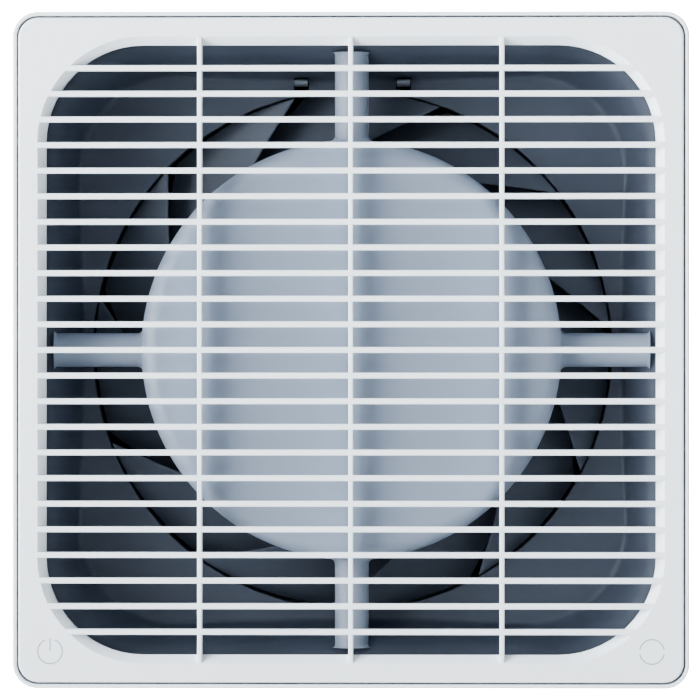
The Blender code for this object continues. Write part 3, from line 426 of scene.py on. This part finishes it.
def ring_part(name, radius, start, end, x):
    """A flat stroke along an arc on the plate's face, between two angles in degrees."""
    steps = max(8, int(abs(end - start) / 5.0))
    outer = arc((0.0, 0.0), radius + SYMBOL_LINE / 2, start, end, steps)
    inner = arc((0.0, 0.0), radius - SYMBOL_LINE / 2, end, start, steps)
    item = prism(name, outer + inner, "Y", depth(-SYMBOL_PROUD), depth(SYMBOL_PROUD))
    return move(item, x=x, z=SYMBOL_Z)


def make_symbols():
    power = ring_part("power_symbol", SYMBOL_RADIUS, *POWER_ARC, -SYMBOL_X)
    stroke = rounded_bar(SYMBOL_LINE, POWER_BAR, POWER_BAR_EDGE)
    bar = prism("bar", stroke, "Y", depth(-SYMBOL_PROUD), depth(SYMBOL_PROUD))
    combine(power, "UNION", [move(bar, x=-SYMBOL_X, z=SYMBOL_Z + POWER_BAR_UP)])
    mode = ring_part("mode_symbol", SYMBOL_RADIUS, *MODE_UPPER_ARC, SYMBOL_X)
    combine(mode, "UNION", [ring_part("lower", SYMBOL_RADIUS, *MODE_LOWER_ARC, SYMBOL_X)])
    for item in (power, mode):
        dress(item, symbol_grey, "grille", "housing_pale")


# ---------------------------------------------------------------- outer casing

CASING_RADIUS = 7.3
CASING_WALL = 2.2
CASING_FLOOR = 2.5
BACK_EDGE = 0.5                # chamfer along the wall side
RIM_WALL = 1.3
RIM_DEPTH = 0.5                # of the rim behind the front face
RIM_EDGE = 0.6
REBATE_DEPTH = 5.7             # of the step the front's lip goes into
BEAD = 0.5                     # how far a snap bead stands in
BEAD_HALF = 1.1
BEAD_AHEAD = 4.0               # of a tab's end
DUCT_HOLE_RADIUS = 81.6
SCREW_HOLE_RADIUS = 1.8
CLAMP_HOLE_RADIUS = 1.3
CABLE_HOLE_RADIUS = 6.0
THROUGH_FLOOR = (-6.0, 2.0)    # span in y of a cutter through the casing's floor
FIXING_X = 91.0
FIXING_Z = 48.0
FIXING_RADIUS = 2.3
POST_ROOT = -1.7               # y at which a post starts, inside the floor
POST_X = 58.0                  # of the well's posts
POST_Z = 72.5
KEY_POST = 91.5                # of the touch boards' posts, on both axes
SHROUD_POST = (3.0, 2.6)       # radii at a post's root and end
KEY_POST_RADII = (2.6, 2.0)
CLAMP_POST = (2.6, 2.6)
CLAMP_POST_END = -5.5
BOARD_POST = (2.0, 2.0)
BOARD_POST_INSET = 4.0
FLOOR_DEPTH = 36.0
SHROUD_WALL = 1.6
DUCT_SCREW_RADIUS = 84.8
CLAMP_X = -84.0
CLAMP_Z = 70.0
CLAMP_SCREW = 6.8              # of its screws on each side of it
GROMMET_Z = 84.0
BOARD_BACK = -6.0              # y of the control board's back
BOARD_LOW = 64.0
BOARD_HIGH = 88.0
TOUCH_BACK = 3.9               # depth of the touch boards' backs
GAP = 0.3                      # between pieces that meet


def make_outer_casing():
    inner = CASING_HALF - CASING_WALL
    inner_radius = CASING_RADIUS - CASING_WALL
    rim = CASING_HALF - RIM_WALL
    rim_radius = CASING_RADIUS - RIM_WALL
    count = 4 * (CORNER_STEPS + 1)
    loops = []
    for out, down in arc((-RIM_EDGE, RIM_EDGE), RIM_EDGE, -90.0, 0.0, ROUND_STEPS):
        loops.append(square_loop(CASING_HALF + out, CASING_RADIUS + out, depth(RIM_DEPTH + down)))
    loops += [
        square_loop(CASING_HALF, CASING_RADIUS, -BACK_EDGE),
        square_loop(CASING_HALF - BACK_EDGE, CASING_RADIUS - BACK_EDGE, 0.0),
        round_loop(DUCT_HOLE_RADIUS, 0.0, count), round_loop(DUCT_HOLE_RADIUS, -CASING_FLOOR, count),
        square_loop(inner, inner_radius, -CASING_FLOOR),
        square_loop(inner, inner_radius, depth(REBATE_DEPTH)),
        square_loop(rim, rim_radius, depth(REBATE_DEPTH)),
        square_loop(rim, rim_radius, depth(RIM_DEPTH + 0.35)),
        square_loop(rim + 0.1, rim_radius + 0.1, depth(RIM_DEPTH + 0.1)),
        square_loop(rim + 0.3, rim_radius + 0.3, depth(RIM_DEPTH)),
    ]
    casing = lofted("casing_shell", loops)
    combine(casing, "UNION", casing_posts(inner))
    combine(casing, "DIFFERENCE", casing_holes())
    shade(casing)
    dress(casing, casing_white, "casing", "casing_white", "outer_casing")


def post(bottom, top, end, x, z):
    """A round post on the casing's floor."""
    return move(turned("post", [(bottom, POST_ROOT), (top, end)], 24, False), x=x, z=z)


def casing_posts(inner):
    """The posts on the floor, and the beads on the side walls that hold the front's tabs."""
    posts = []
    for side in (-1, 1):
        for level in (-1, 1):
            shroud_back = depth(FLOOR_DEPTH + SHROUD_WALL) + GAP
            posts.append(post(*SHROUD_POST, shroud_back, side * POST_X, level * POST_Z))
            bead_y = depth(TAB_END_DEPTH - BEAD_AHEAD)
            outline = [
                (inner + 0.5, bead_y - BEAD_HALF), (inner + 0.5, bead_y + BEAD_HALF), (inner - BEAD, bead_y),
            ]
            outline = [(side * x, y) for x, y in outline]
            low = level * TAB_HEIGHT - TAB_WIDTH / 2 - 1.0
            posts.append(prism("snap_bead", outline, "Z", low, low + TAB_WIDTH + 2.0))
        posts.append(post(*KEY_POST_RADII, depth(TOUCH_BACK) + GAP, side * KEY_POST, -KEY_POST))
        posts.append(post(*CLAMP_POST, CLAMP_POST_END, CLAMP_X + side * CLAMP_SCREW, CLAMP_Z))
    for x, z in (
        (BOARD_HIGH - BOARD_POST_INSET, -BOARD_LOW - BOARD_POST_INSET),
        (BOARD_LOW + BOARD_POST_INSET, -BOARD_HIGH + BOARD_POST_INSET),
    ):
        posts.append(post(*BOARD_POST, BOARD_BACK + GAP, x, z))
    return posts


def hole(radius, start, end, x=0.0, z=0.0, count=32):
    """A round cutter along Y."""
    return move(turned("hole", [(radius, start), (radius, end)], count, False), x=x, z=z)


def at_diagonal(radius, index):
    """The x and z of a point on one of the four diagonals."""
    angle = math.radians(45.0 + 90.0 * index)
    return radius * math.cos(angle), radius * math.sin(angle)


def casing_holes():
    """Cutters for the wall fixings, the clamp's and the duct's screws and the cable."""
    cutters = []
    for side in (-1, 1):
        for level in (-1, 1):
            x, z = side * FIXING_X, level * FIXING_Z
            cutters.append(hole(FIXING_RADIUS, *THROUGH_FLOOR, x, z))
        cutters.append(hole(CLAMP_HOLE_RADIUS, -8.0, -1.2, CLAMP_X + side * CLAMP_SCREW, CLAMP_Z, 20))
    for index in range(4):
        cutters.append(hole(SCREW_HOLE_RADIUS, *THROUGH_FLOOR, *at_diagonal(DUCT_SCREW_RADIUS, index), 20))
    cutters.append(hole(CABLE_HOLE_RADIUS, *THROUGH_FLOOR, CLAMP_X, GROMMET_Z, 40))
    return cutters


# ---------------------------------------------------------------- inner shroud

INLET_RADIUS = 77.9
ARM_SCREW_DEPTH = 25.2
ARM_SCREW_HOLE = 1.7
ARM_SCREW_SPAN = (80.0, 96.0)  # of the cutters through the well's wall, from the axis
LEAD_DEPTH = 30.2              # of the hole for the motor lead
LEAD_RADIUS = 1.5
LEAD_SPAN = (79.0, 94.0)
CATCH_X = 15.3
CATCH_Z = 78.3
CATCH_WIDTH = 3.9
CATCH_SLOT_HEIGHT = 6.6
CATCH_SLOT_DEPTHS = (33.0, 39.0)
WELL_SHARP_ANGLE = 30.0        # degrees
# half size, corner radius, depth and pinch of the well's wall, from the reveal down to the floor
WELL_WALL = (
    (90.6, 29.4, 20.3, 0.0), (89.7, 28.8, 20.5, 0.0), (88.9, 28.3, 21.0, 0.0), (88.0, 28.1, 21.7, 0.05),
    (87.2, 28.0, 22.6, 0.1), (86.4, 28.1, 23.9, 0.2), (85.6, 28.2, 25.4, 0.35), (84.9, 28.4, 27.2, 0.5),
    (84.2, 28.6, 29.2, 0.7), (83.6, 28.9, 31.4, 0.9), (83.0, 29.2, 33.6, 1.1), (82.65, 29.4, 34.7, 1.2),
    (82.3, 29.6, 35.4, 1.3), (81.8, 29.8, 35.8, 1.35), (81.2, 30.0, 36.0, 1.4),
)
# the same for its outer face, from the floor up to the flange behind the skirt
WELL_BACK = (
    (81.0, 30.0, 37.6, 1.4), (83.2, 30.4, 37.0, 1.1), (84.5, 30.4, 34.3, 0.8), (85.7, 30.0, 29.9, 0.4),
    (87.0, 29.6, 26.3, 0.2), (88.4, 29.4, 23.8, 0.1), (90.0, 29.6, 22.4, 0.0), (93.2, 31.4, 21.9, 0.0),
    (93.2, 31.4, 20.3, 0.0),
)
NO_PINCH = 0.0001              # keeps the points along the sides where they aren't pinched


def radial_cutter(radius, near, far, level, index):
    """A round cutter that lies along one of the four arms; index 0 is the upper one."""
    item = turned("radial", [(radius, near), (radius, far)], 20, False)
    move(item, turn=("X", 90.0))
    item.data.transform(Matrix.Rotation(math.radians(90.0 * index), 4, "Y"))
    return move(item, y=depth(level))


def make_inner_shroud():
    loops = []
    for half, radius, level, pinch in WELL_WALL:
        loops.append(square_loop(half, radius, depth(level), pinch or NO_PINCH))
    lip = [(INLET_RADIUS + 0.5, FLOOR_DEPTH), (INLET_RADIUS + 0.15, FLOOR_DEPTH + 0.15),
           (INLET_RADIUS, FLOOR_DEPTH + 0.5), (INLET_RADIUS, FLOOR_DEPTH + SHROUD_WALL - 0.2)]
    for radius, level in lip:
        loops.append(matched_circle(radius, depth(level), loops[0]))
    for half, radius, level, pinch in WELL_BACK:
        loops.append(square_loop(half, radius, depth(level), pinch or NO_PINCH))
    shroud = lofted("well_liner", loops)
    cutters = [radial_cutter(ARM_SCREW_HOLE, *ARM_SCREW_SPAN, ARM_SCREW_DEPTH, index) for index in range(4)]
    # known fault: index 0 puts this hole at the top, but the CAD lead leaves at the bottom
    cutters.append(radial_cutter(LEAD_RADIUS + 0.5, *LEAD_SPAN, LEAD_DEPTH, 0))
    for side in (-1, 1):
        outline = rounded_bar(CATCH_WIDTH + 2 * GAP, CATCH_SLOT_HEIGHT, 0.3)
        slot = prism("catch_slot", outline, "Y", *[depth(level) for level in CATCH_SLOT_DEPTHS])
        cutters.append(move(slot, x=side * CATCH_X, z=CATCH_Z))
    combine(shroud, "DIFFERENCE", cutters)
    shade(shroud, WELL_SHARP_ANGLE)
    dress(shroud, well_charcoal, "casing", "well_charcoal", "inner_shroud")


def matched_circle(radius, y, loop):
    """A circle whose points have the same directions from the axis as another loop's."""
    points = []
    for x, _, z in loop:
        length = math.hypot(x, z)
        points.append((radius * x / length, y, radius * z / length))
    return points


# ---------------------------------------------------------------- motor cover

HOUSING_RADIUS = 62.0
HOUSING_ROUND = 5.0            # rounding of its front edge
HOUSING_WALL = 1.8
HOUSING_DEPTH = 8.6
HOUSING_BACK = 28.0
ARM_WIDTH = 10.0
ARM_FRONT = 18.5
ARM_BACK = 28.0
ARM_ROOT = 1.2                 # how far an arm runs into the cover
ARM_FILLET = 1.8               # where an arm meets the cover
ARM_FLARE = 1.5                # fillet where an arm meets the well's wall
ARM_FLARE_START = 86.9
ARM_CLEARANCE = 0.1
ARM_HOLE_SPAN = (77.0, 92.0)   # of the screw holes in the arms' ends, from the axis
BOSS_CIRCLE = 48.0
BOSS_RADIUS = 4.0
BOSS_END = 23.7                # depth
BOSS_HOLE_DEPTH = 17.0


def arm_section(radius):
    """The arm's rounded section at this distance from the axis; it widens where it meets the cover."""
    half = ARM_WIDTH / 2
    near = HOUSING_RADIUS + ARM_FILLET - radius
    if near > 0.0:
        near = min(near, ARM_FILLET)
        half += ARM_FILLET - math.sqrt(ARM_FILLET ** 2 - near ** 2)
    far = min(radius - ARM_FLARE_START, ARM_FLARE)
    if far > 0.0:
        half += ARM_FLARE - math.sqrt(ARM_FLARE ** 2 - far ** 2)
    crown = (ARM_BACK - ARM_FRONT) / 2
    points = [(-half, depth(ARM_BACK), radius), (half, depth(ARM_BACK), radius)]
    for across, up in arc((0.0, 0.0), 1.0, 0.0, 180.0, 20):
        points.append((half * across, depth(ARM_FRONT + crown - crown * up), radius))
    return points


def make_motor_housing():
    inner = HOUSING_RADIUS - HOUSING_WALL
    rim = arc((HOUSING_RADIUS - HOUSING_ROUND, HOUSING_DEPTH + HOUSING_ROUND), HOUSING_ROUND, -90.0, 0.0, 12)
    profile = [(radius, depth(level)) for radius, level in rim] + [
        (HOUSING_RADIUS, depth(HOUSING_BACK - 0.3)), (HOUSING_RADIUS - 0.3, depth(HOUSING_BACK)),
        (inner, depth(HOUSING_BACK)), (inner, depth(HOUSING_DEPTH + HOUSING_ROUND)),
        (inner - 1.0, depth(HOUSING_DEPTH + 3.2)), (inner - 3.0, depth(HOUSING_DEPTH + HOUSING_WALL)),
    ]
    housing = turned("motor_cover", profile, closed=False)
    joins = []
    quarter = [math.radians(15.0 * step) for step in range(7)]
    radii = [HOUSING_RADIUS - ARM_ROOT]
    radii += [HOUSING_RADIUS + ARM_FILLET * (1.0 - math.cos(angle)) for angle in quarter]
    radii += [ARM_FLARE_START + ARM_FLARE * math.sin(angle) for angle in quarter]
    sections = [arm_section(radius) for radius in radii]
    boss_ends = [(BOSS_RADIUS, depth(HOUSING_DEPTH + 1.0)), (BOSS_RADIUS, depth(BOSS_END))]
    for index in range(4):
        joins.append(move(lofted("arm", sections, False), turn=("Y", 90.0 * index)))
        boss = turned("boss", boss_ends, 32, False)
        x, z = at_diagonal(BOSS_CIRCLE, index)
        joins.append(move(boss, x=x, z=z))
    combine(housing, "UNION", joins)
    cutters = []
    for index in range(4):
        x, z = at_diagonal(BOSS_CIRCLE, index)
        cutters.append(hole(SCREW_HOLE_RADIUS, depth(BOSS_HOLE_DEPTH), depth(BOSS_END + 2.0), x, z, 20))
        cutters.append(radial_cutter(ARM_SCREW_HOLE, *ARM_HOLE_SPAN, ARM_SCREW_DEPTH, index))
    cutters.append(arm_trim())
    combine(housing, "DIFFERENCE", cutters)
    shade(housing)
    dress(housing, housing_pale, "casing", "housing_pale", "motor_housing")


def arm_trim():
    """The space outside the well's wall, which the arms' ends are cut back to."""
    outside, front, back = 110.0, 12.0, 40.0
    loops = [
        square_loop(outside, SKIRT_RADIUS, depth(back), NO_PINCH),
        square_loop(outside, SKIRT_RADIUS, depth(front), NO_PINCH),
        square_loop(SKIRT_HALF - ARM_CLEARANCE, SKIRT_RADIUS, depth(front), NO_PINCH),
    ]
    for half, radius, level, pinch in WELL_WALL:
        loops.append(square_loop(half - ARM_CLEARANCE, radius, depth(level), pinch or NO_PINCH))
    return lofted("arm_trim", loops)


# ---------------------------------------------------------------- impeller

HUB_RADIUS = 36.0
HUB_FRONT = 33.5
HUB_BACK = 66.0
HUB_BORE = 33.7
HUB_ROUND = 3.0                # rounding of its back edge
HUB_WALL = 2.5                 # thickness of its back
SHAFT_BORE = 2.8
BLADE_COUNT = 11
BLADE_TIP = 77.4
BLADE_ROOT = 35.0
BLADE_THICKNESS = 1.5
BLADE_FRONT = 37.2
BLADE_BACK = 48.0
BLADE_CURVE = 1.25             # over 1 makes a blade steeper at its leading edge
BLADE_STEPS = 14               # stretches along its radius, and along its chord
FIRST_TIP_ANGLE = 4.7          # of one leading edge's tip, anticlockwise from +X seen from the front
SWEEP = 0.72                   # degrees per mm of radius at the tip
SWEEP_GROWTH = 0.022           # makes the outer part of the leading edge straight
SWEEP_TURN = 15.0              # mm from the tip where the edge starts to bend back
SWEEP_EASE = 0.035
TIP_CHORD_ANGLE = 31.0
ROOT_CHORD_ANGLE = 46.0
EDGE_SHARE = 0.03              # of the chord taken by the rounded leading edge


def blade_point(radius, along, side):
    """A point of the blade: along runs from leading to trailing edge, side is -1 at the front face."""
    inward = BLADE_TIP - radius
    outer = min(inward, SWEEP_TURN)
    rest = inward - outer
    leading = FIRST_TIP_ANGLE + SWEEP * outer + SWEEP_GROWTH * outer ** 2
    leading += (SWEEP + 2.0 * SWEEP_GROWTH * SWEEP_TURN) * rest - SWEEP_EASE * rest ** 2
    share = inward / (BLADE_TIP - BLADE_ROOT)
    chord = TIP_CHORD_ANGLE + (ROOT_CHORD_ANGLE - TIP_CHORD_ANGLE) * share
    angle = math.radians(leading + chord * along)
    level = BLADE_FRONT + (BLADE_BACK - BLADE_FRONT) * (1.0 - (1.0 - along) ** BLADE_CURVE)
    swell = BLADE_THICKNESS / 2 * (0.45 + 0.55 * math.sin(math.pi * (0.15 + 0.7 * along)))
    slope = math.atan2(BLADE_BACK - BLADE_FRONT, radius * math.radians(chord))
    angle -= side * swell * math.sin(slope) / radius
    y = depth(level) + side * swell * math.cos(slope)
    return (radius * math.cos(angle), y, radius * math.sin(angle))


def make_blade():
    """Loops round the blade's section, from the root inside the hub's wall to the tip."""
    loops = []
    for station in range(BLADE_STEPS + 1):
        radius = BLADE_ROOT + (BLADE_TIP - BLADE_ROOT) * station / BLADE_STEPS
        shares = [EDGE_SHARE + (1.0 - 1.5 * EDGE_SHARE) * step / BLADE_STEPS
                  for step in range(BLADE_STEPS + 1)]
        front = [blade_point(radius, share, -1.0) for share in shares]
        back = [blade_point(radius, share, 1.0) for share in reversed(shares)]
        turns = [math.radians(turn) for turn in (30.0, 60.0, 90.0, 120.0, 150.0)]
        nose = [blade_point(radius, EDGE_SHARE * (1.0 - math.sin(turn)), math.cos(turn)) for turn in turns]
        tail = [blade_point(radius, 1.0 - 0.2 * EDGE_SHARE, side) for side in (-0.5, 0.5)]
        loops.append(front + tail + back + nose)
    return lofted("blade", loops, False)


def make_impeller():
    profile = [
        (HUB_BORE, depth(HUB_FRONT)), (HUB_RADIUS - 0.6, depth(HUB_FRONT)),
        (HUB_RADIUS - 0.18, depth(HUB_FRONT + 0.18)), (HUB_RADIUS, depth(HUB_FRONT + 0.6)),
    ]
    edge = arc((HUB_RADIUS - HUB_ROUND, HUB_BACK - HUB_ROUND), HUB_ROUND, 0.0, 90.0, 8)
    profile += [(radius, depth(level)) for radius, level in edge]
    profile += [
        (SHAFT_BORE, depth(HUB_BACK)), (SHAFT_BORE, depth(HUB_BACK - HUB_WALL)),
        (HUB_BORE, depth(HUB_BACK - HUB_WALL)),
    ]
    impeller = turned("impeller_wheel", profile)
    first = make_blade()
    blades = [first]
    for index in range(1, BLADE_COUNT):
        twin = bpy.data.objects.new("blade", first.data.copy())
        bpy.context.scene.collection.objects.link(twin)
        blades.append(move(twin, turn=("Y", -360.0 / BLADE_COUNT * index)))
    combine(impeller, "UNION", blades)
    shade(impeller)
    dress(impeller, impeller_charcoal, "impeller", "impeller_charcoal", "impeller")


# ---------------------------------------------------------------- duct and shutter

DUCT_BORE = 78.2
DUCT_OUTER = 79.5
DUCT_MOUTH_DEPTH = 37.7
DUCT_MOUTH_EDGE = 0.6          # rounding inside its mouth
DUCT_END_EDGE = 1.0            # rounding outside its end
DUCT_FLANGE_RADIUS = 88.0
DUCT_FLANGE_THICKNESS = 2.2
SHUTTER_Y = 52.4
STOP_RADIUS = 75.2             # of the ring the flaps close against
PIN_RADIUS = 1.5
FLAP_RADIUS = 76.4
FLAP_THICKNESS = 1.2
FLAP_EDGE = 3.6                # from the pin's middle to a flap's straight edge
FLAP_STEPS = 48                # facets round a flap
KNUCKLE_RADIUS = 3.0
KNUCKLES = ((8.0, 30.0), (-66.0, -44.0))  # along Z; the left flap's are half a turn round


def make_fan_duct():
    flange_back = -CASING_FLOOR - GAP
    flange_front = flange_back - DUCT_FLANGE_THICKNESS
    mouth = depth(DUCT_MOUTH_DEPTH + 0.1)
    edge = DUCT_MOUTH_EDGE
    profile = arc((DUCT_BORE + edge, mouth + edge), edge, 180.0, 270.0, ROUND_STEPS)
    profile += [
        (DUCT_OUTER - 0.3, mouth), (DUCT_OUTER, mouth + 0.3), (DUCT_OUTER, flange_front - 0.6),
        (DUCT_OUTER + 0.2, flange_front - 0.2), (DUCT_OUTER + 0.6, flange_front),
        (DUCT_FLANGE_RADIUS - 0.4, flange_front), (DUCT_FLANGE_RADIUS, flange_front + 0.4),
        (DUCT_FLANGE_RADIUS, flange_back), (DUCT_OUTER, flange_back),
    ]
    edge = DUCT_END_EDGE
    profile += arc((DUCT_OUTER - edge, DUCT_END - edge), edge, 0.0, 90.0, ROUND_STEPS)
    profile += [
        (DUCT_BORE + 0.2, DUCT_END), (DUCT_BORE, DUCT_END - 0.2), (DUCT_BORE, SHUTTER_Y - 1.2),
        (STOP_RADIUS + 0.2, SHUTTER_Y - 1.2), (STOP_RADIUS, SHUTTER_Y - 1.4), (STOP_RADIUS, SHUTTER_Y - 2.4),
        (STOP_RADIUS + 0.3, SHUTTER_Y - 2.8), (DUCT_BORE, SHUTTER_Y - 5.0),
    ]
    duct = turned("duct_barrel", profile)
    cutters = []
    for index in range(4):
        cutters.append(hole(SCREW_HOLE_RADIUS, -8.0, -1.0, *at_diagonal(DUCT_SCREW_RADIUS, index), 20))
    pin_hole = turned("pin_hole", [(PIN_RADIUS + GAP, -90.0), (PIN_RADIUS + GAP, 90.0)], 24, False)
    move(pin_hole, turn=("X", 90.0))
    cutters.append(move(pin_hole, y=SHUTTER_Y))
    combine(duct, "DIFFERENCE", cutters)
    shade(duct)
    dress(duct, duct_charcoal, "casing", "duct_charcoal", "fan_duct")


def half_disc(radius, edge):
    """The outline of a half disc right of the pin, in x and z."""
    start = math.degrees(math.asin(edge / radius))
    return arc((0.0, 0.0), radius, -90.0 + start, 90.0 - start, FLAP_STEPS)


def make_flap(side, turn):
    """A thin half disc with a raised edge, a stiffener and two knuckles on the pin."""
    half = FLAP_THICKNESS / 2
    outline = half_disc(FLAP_RADIUS, FLAP_EDGE)
    flap = prism(f"shutter_leaf_{side}", outline, "Y", -half, half)
    joins = []
    outer = half_disc(FLAP_RADIUS - 0.4, FLAP_EDGE + 0.6)
    inner = half_disc(FLAP_RADIUS - 1.7, FLAP_EDGE + 0.6)
    joins.append(prism("rim", outer + inner[::-1], "Y", 0.0, half + 0.6))
    for low, high in KNUCKLES:
        bore = PIN_RADIUS + GAP
        ring = [(bore, low), (KNUCKLE_RADIUS - 0.2, low), (KNUCKLE_RADIUS, low + 0.2),
                (KNUCKLE_RADIUS, high - 0.2), (KNUCKLE_RADIUS - 0.2, high), (bore, high)]
        joins.append(move(turned("knuckle", ring, 32), turn=("X", 90.0)))
        web = [(2.3, -half * 0.9), (5.0, -half * 0.9), (5.0, half * 0.9), (2.3, half * 0.9)]
        joins.append(prism("web", web, "Z", low + 0.2, high - 0.2))
    rib = [(12.0, half * 0.3), (70.0, half * 0.3), (68.5, half + 1.2), (14.0, half + 1.2)]
    joins.append(prism("stiffener", rib, "Z", -0.6, 0.6))
    combine(flap, "UNION", joins)
    move(flap, y=SHUTTER_Y, turn=("Y", turn))
    shade(flap)
    dress(flap, flap_grey, f"flap_{side}", "flap_grey", f"shutter_flap_{side}")


# ---------------------------------------------------------------- stage

CAMERA_DISTANCE = 1.3          # metres from the front plane
CAMERA_RIGHT = 0.019           # metres right of the fan's axis
AIM_RIGHT = -0.0002            # metres, where the camera looks in the front plane
VIEW_WIDTH = 0.2044            # metres of the front plane across the picture
SENSOR_WIDTH = 36.0
FLOOR_Z = -0.14                # metres
FLOOR_RADIUS = 0.4
FLOOR_THICKNESS = 4.0
FLOOR_STEPS = 96
DOME = 0.1                     # radiance of the whole studio
AHEAD = 0.4                    # added straight in front of the fan
LEFT_LOW = 14.0                # added at the left, close to the plane of the front
LEFT_HIGH = 10.8               # added at the left, further forward
RIGHT_LOW = 5.0                # added at the right, in the plane of the front
BEHIND = 1.6                   # added everywhere behind the plane of the front
BAND_SOFT = 0.06               # half the width over which a band fades
SIDE_FADE = (0.2, 0.95)        # over which the left and the right fade in from above and below
BACKDROP = 40.0                # what the camera sees behind the fan
LIGHT_TINT = (0.94, 0.975, 1.0)


def make_world():
    """White studio walls: bright at the left, fainter at the right, plain white for the camera."""
    world = bpy.data.worlds.new("soft_studio")
    bpy.context.scene.world = world
    world.use_nodes = True
    tree = world.node_tree
    tree.nodes.clear()

    def compute(kind, *values):
        node = tree.nodes.new("ShaderNodeMath")
        node.operation = kind
        for socket, value in zip(node.inputs, values):
            if isinstance(value, float):
                socket.default_value = value
            else:
                tree.links.new(value, socket)
        return node.outputs["Value"]

    def ramp(value, low, high):
        node = tree.nodes.new("ShaderNodeMapRange")
        node.interpolation_type = "SMOOTHSTEP"
        node.inputs["From Min"].default_value = low
        node.inputs["From Max"].default_value = high
        tree.links.new(value, node.inputs["Value"])
        return node.outputs["Result"]

    def band(low, high):
        """One where a direction's forward part, from -1 behind to 1 ahead, lies between two values."""
        inside = ramp(ahead, low - BAND_SOFT, low + BAND_SOFT)
        return compute("SUBTRACT", inside, ramp(ahead, high - BAND_SOFT, high + BAND_SOFT))

    place = tree.nodes.new("ShaderNodeTexCoord")
    split = tree.nodes.new("ShaderNodeSeparateXYZ")
    tree.links.new(place.outputs["Generated"], split.inputs["Vector"])
    across, along, up = split.outputs
    ahead = compute("MULTIPLY", along, -1.0)
    reach = compute("SQRT", compute("ADD", compute("MULTIPLY", across, across), compute("MULTIPLY", up, up)))
    sideways = compute("DIVIDE", across, compute("MAXIMUM", reach, 0.001))
    left = ramp(compute("MULTIPLY", sideways, -1.0), *SIDE_FADE)
    right = ramp(sideways, *SIDE_FADE)
    total = DOME
    for share, radiance in (
        (compute("MULTIPLY", left, band(0.25, 0.5)), LEFT_LOW),
        (compute("MULTIPLY", left, band(0.5, 0.8)), LEFT_HIGH),
        (compute("MULTIPLY", right, band(0.0, 0.25)), RIGHT_LOW),
        (band(0.8, 1.2), AHEAD),
        (band(-1.2, 0.0), BEHIND),
    ):
        total = compute("ADD", total, compute("MULTIPLY", share, radiance))

    output = tree.nodes.new("ShaderNodeOutputWorld")
    mix = tree.nodes.new("ShaderNodeMixShader")
    path = tree.nodes.new("ShaderNodeLightPath")
    seen = tree.nodes.new("ShaderNodeBackground")
    seen.inputs["Strength"].default_value = BACKDROP
    lighting = tree.nodes.new("ShaderNodeBackground")
    lighting.inputs["Color"].default_value = (*LIGHT_TINT, 1.0)
    tree.links.new(total, lighting.inputs["Strength"])
    tree.links.new(path.outputs["Is Camera Ray"], mix.inputs["Fac"])
    tree.links.new(lighting.outputs["Background"], mix.inputs[1])
    tree.links.new(seen.outputs["Background"], mix.inputs[2])
    tree.links.new(mix.outputs["Shader"], output.inputs["Surface"])


def make_floor():
    radius, top = FLOOR_RADIUS / MM, FLOOR_Z / MM
    angles = [2.0 * math.pi * step / FLOOR_STEPS for step in range(FLOOR_STEPS)]
    loops = [[(radius * math.cos(angle), radius * math.sin(angle), z) for angle in angles]
             for z in (top, top - FLOOR_THICKNESS)]
    floor = lofted("studio_floor", loops, False)
    floor.data.materials.append(surface("studio_floor", (0.86, 0.87, 0.88), 0.7, mottle=8.0, grain=500.0))


def make_stage():
    bpy.context.scene.view_settings.look = "AgX - Medium High Contrast"
    make_world()
    make_floor()
    camera = bpy.data.cameras.new("camera")
    camera.sensor_width = SENSOR_WIDTH
    camera.lens = SENSOR_WIDTH * CAMERA_DISTANCE / VIEW_WIDTH
    camera.clip_start = 0.05
    item = bpy.data.objects.new("camera", camera)
    bpy.context.scene.collection.objects.link(item)
    front = FRONT * MM
    item.location = (CAMERA_RIGHT, front - CAMERA_DISTANCE, 0.0)
    aim = Vector((AIM_RIGHT, front, 0.0)) - item.location
    item.rotation_euler = aim.to_track_quat("-Z", "Y").to_euler()
    bpy.context.scene.camera = item


dress_cad_nodes()
make_front_grille()
make_symbols()
make_outer_casing()
make_inner_shroud()
make_motor_housing()
make_impeller()
make_fan_duct()
make_flap("right", 0.0)
make_flap("left", 180.0)
make_stage()
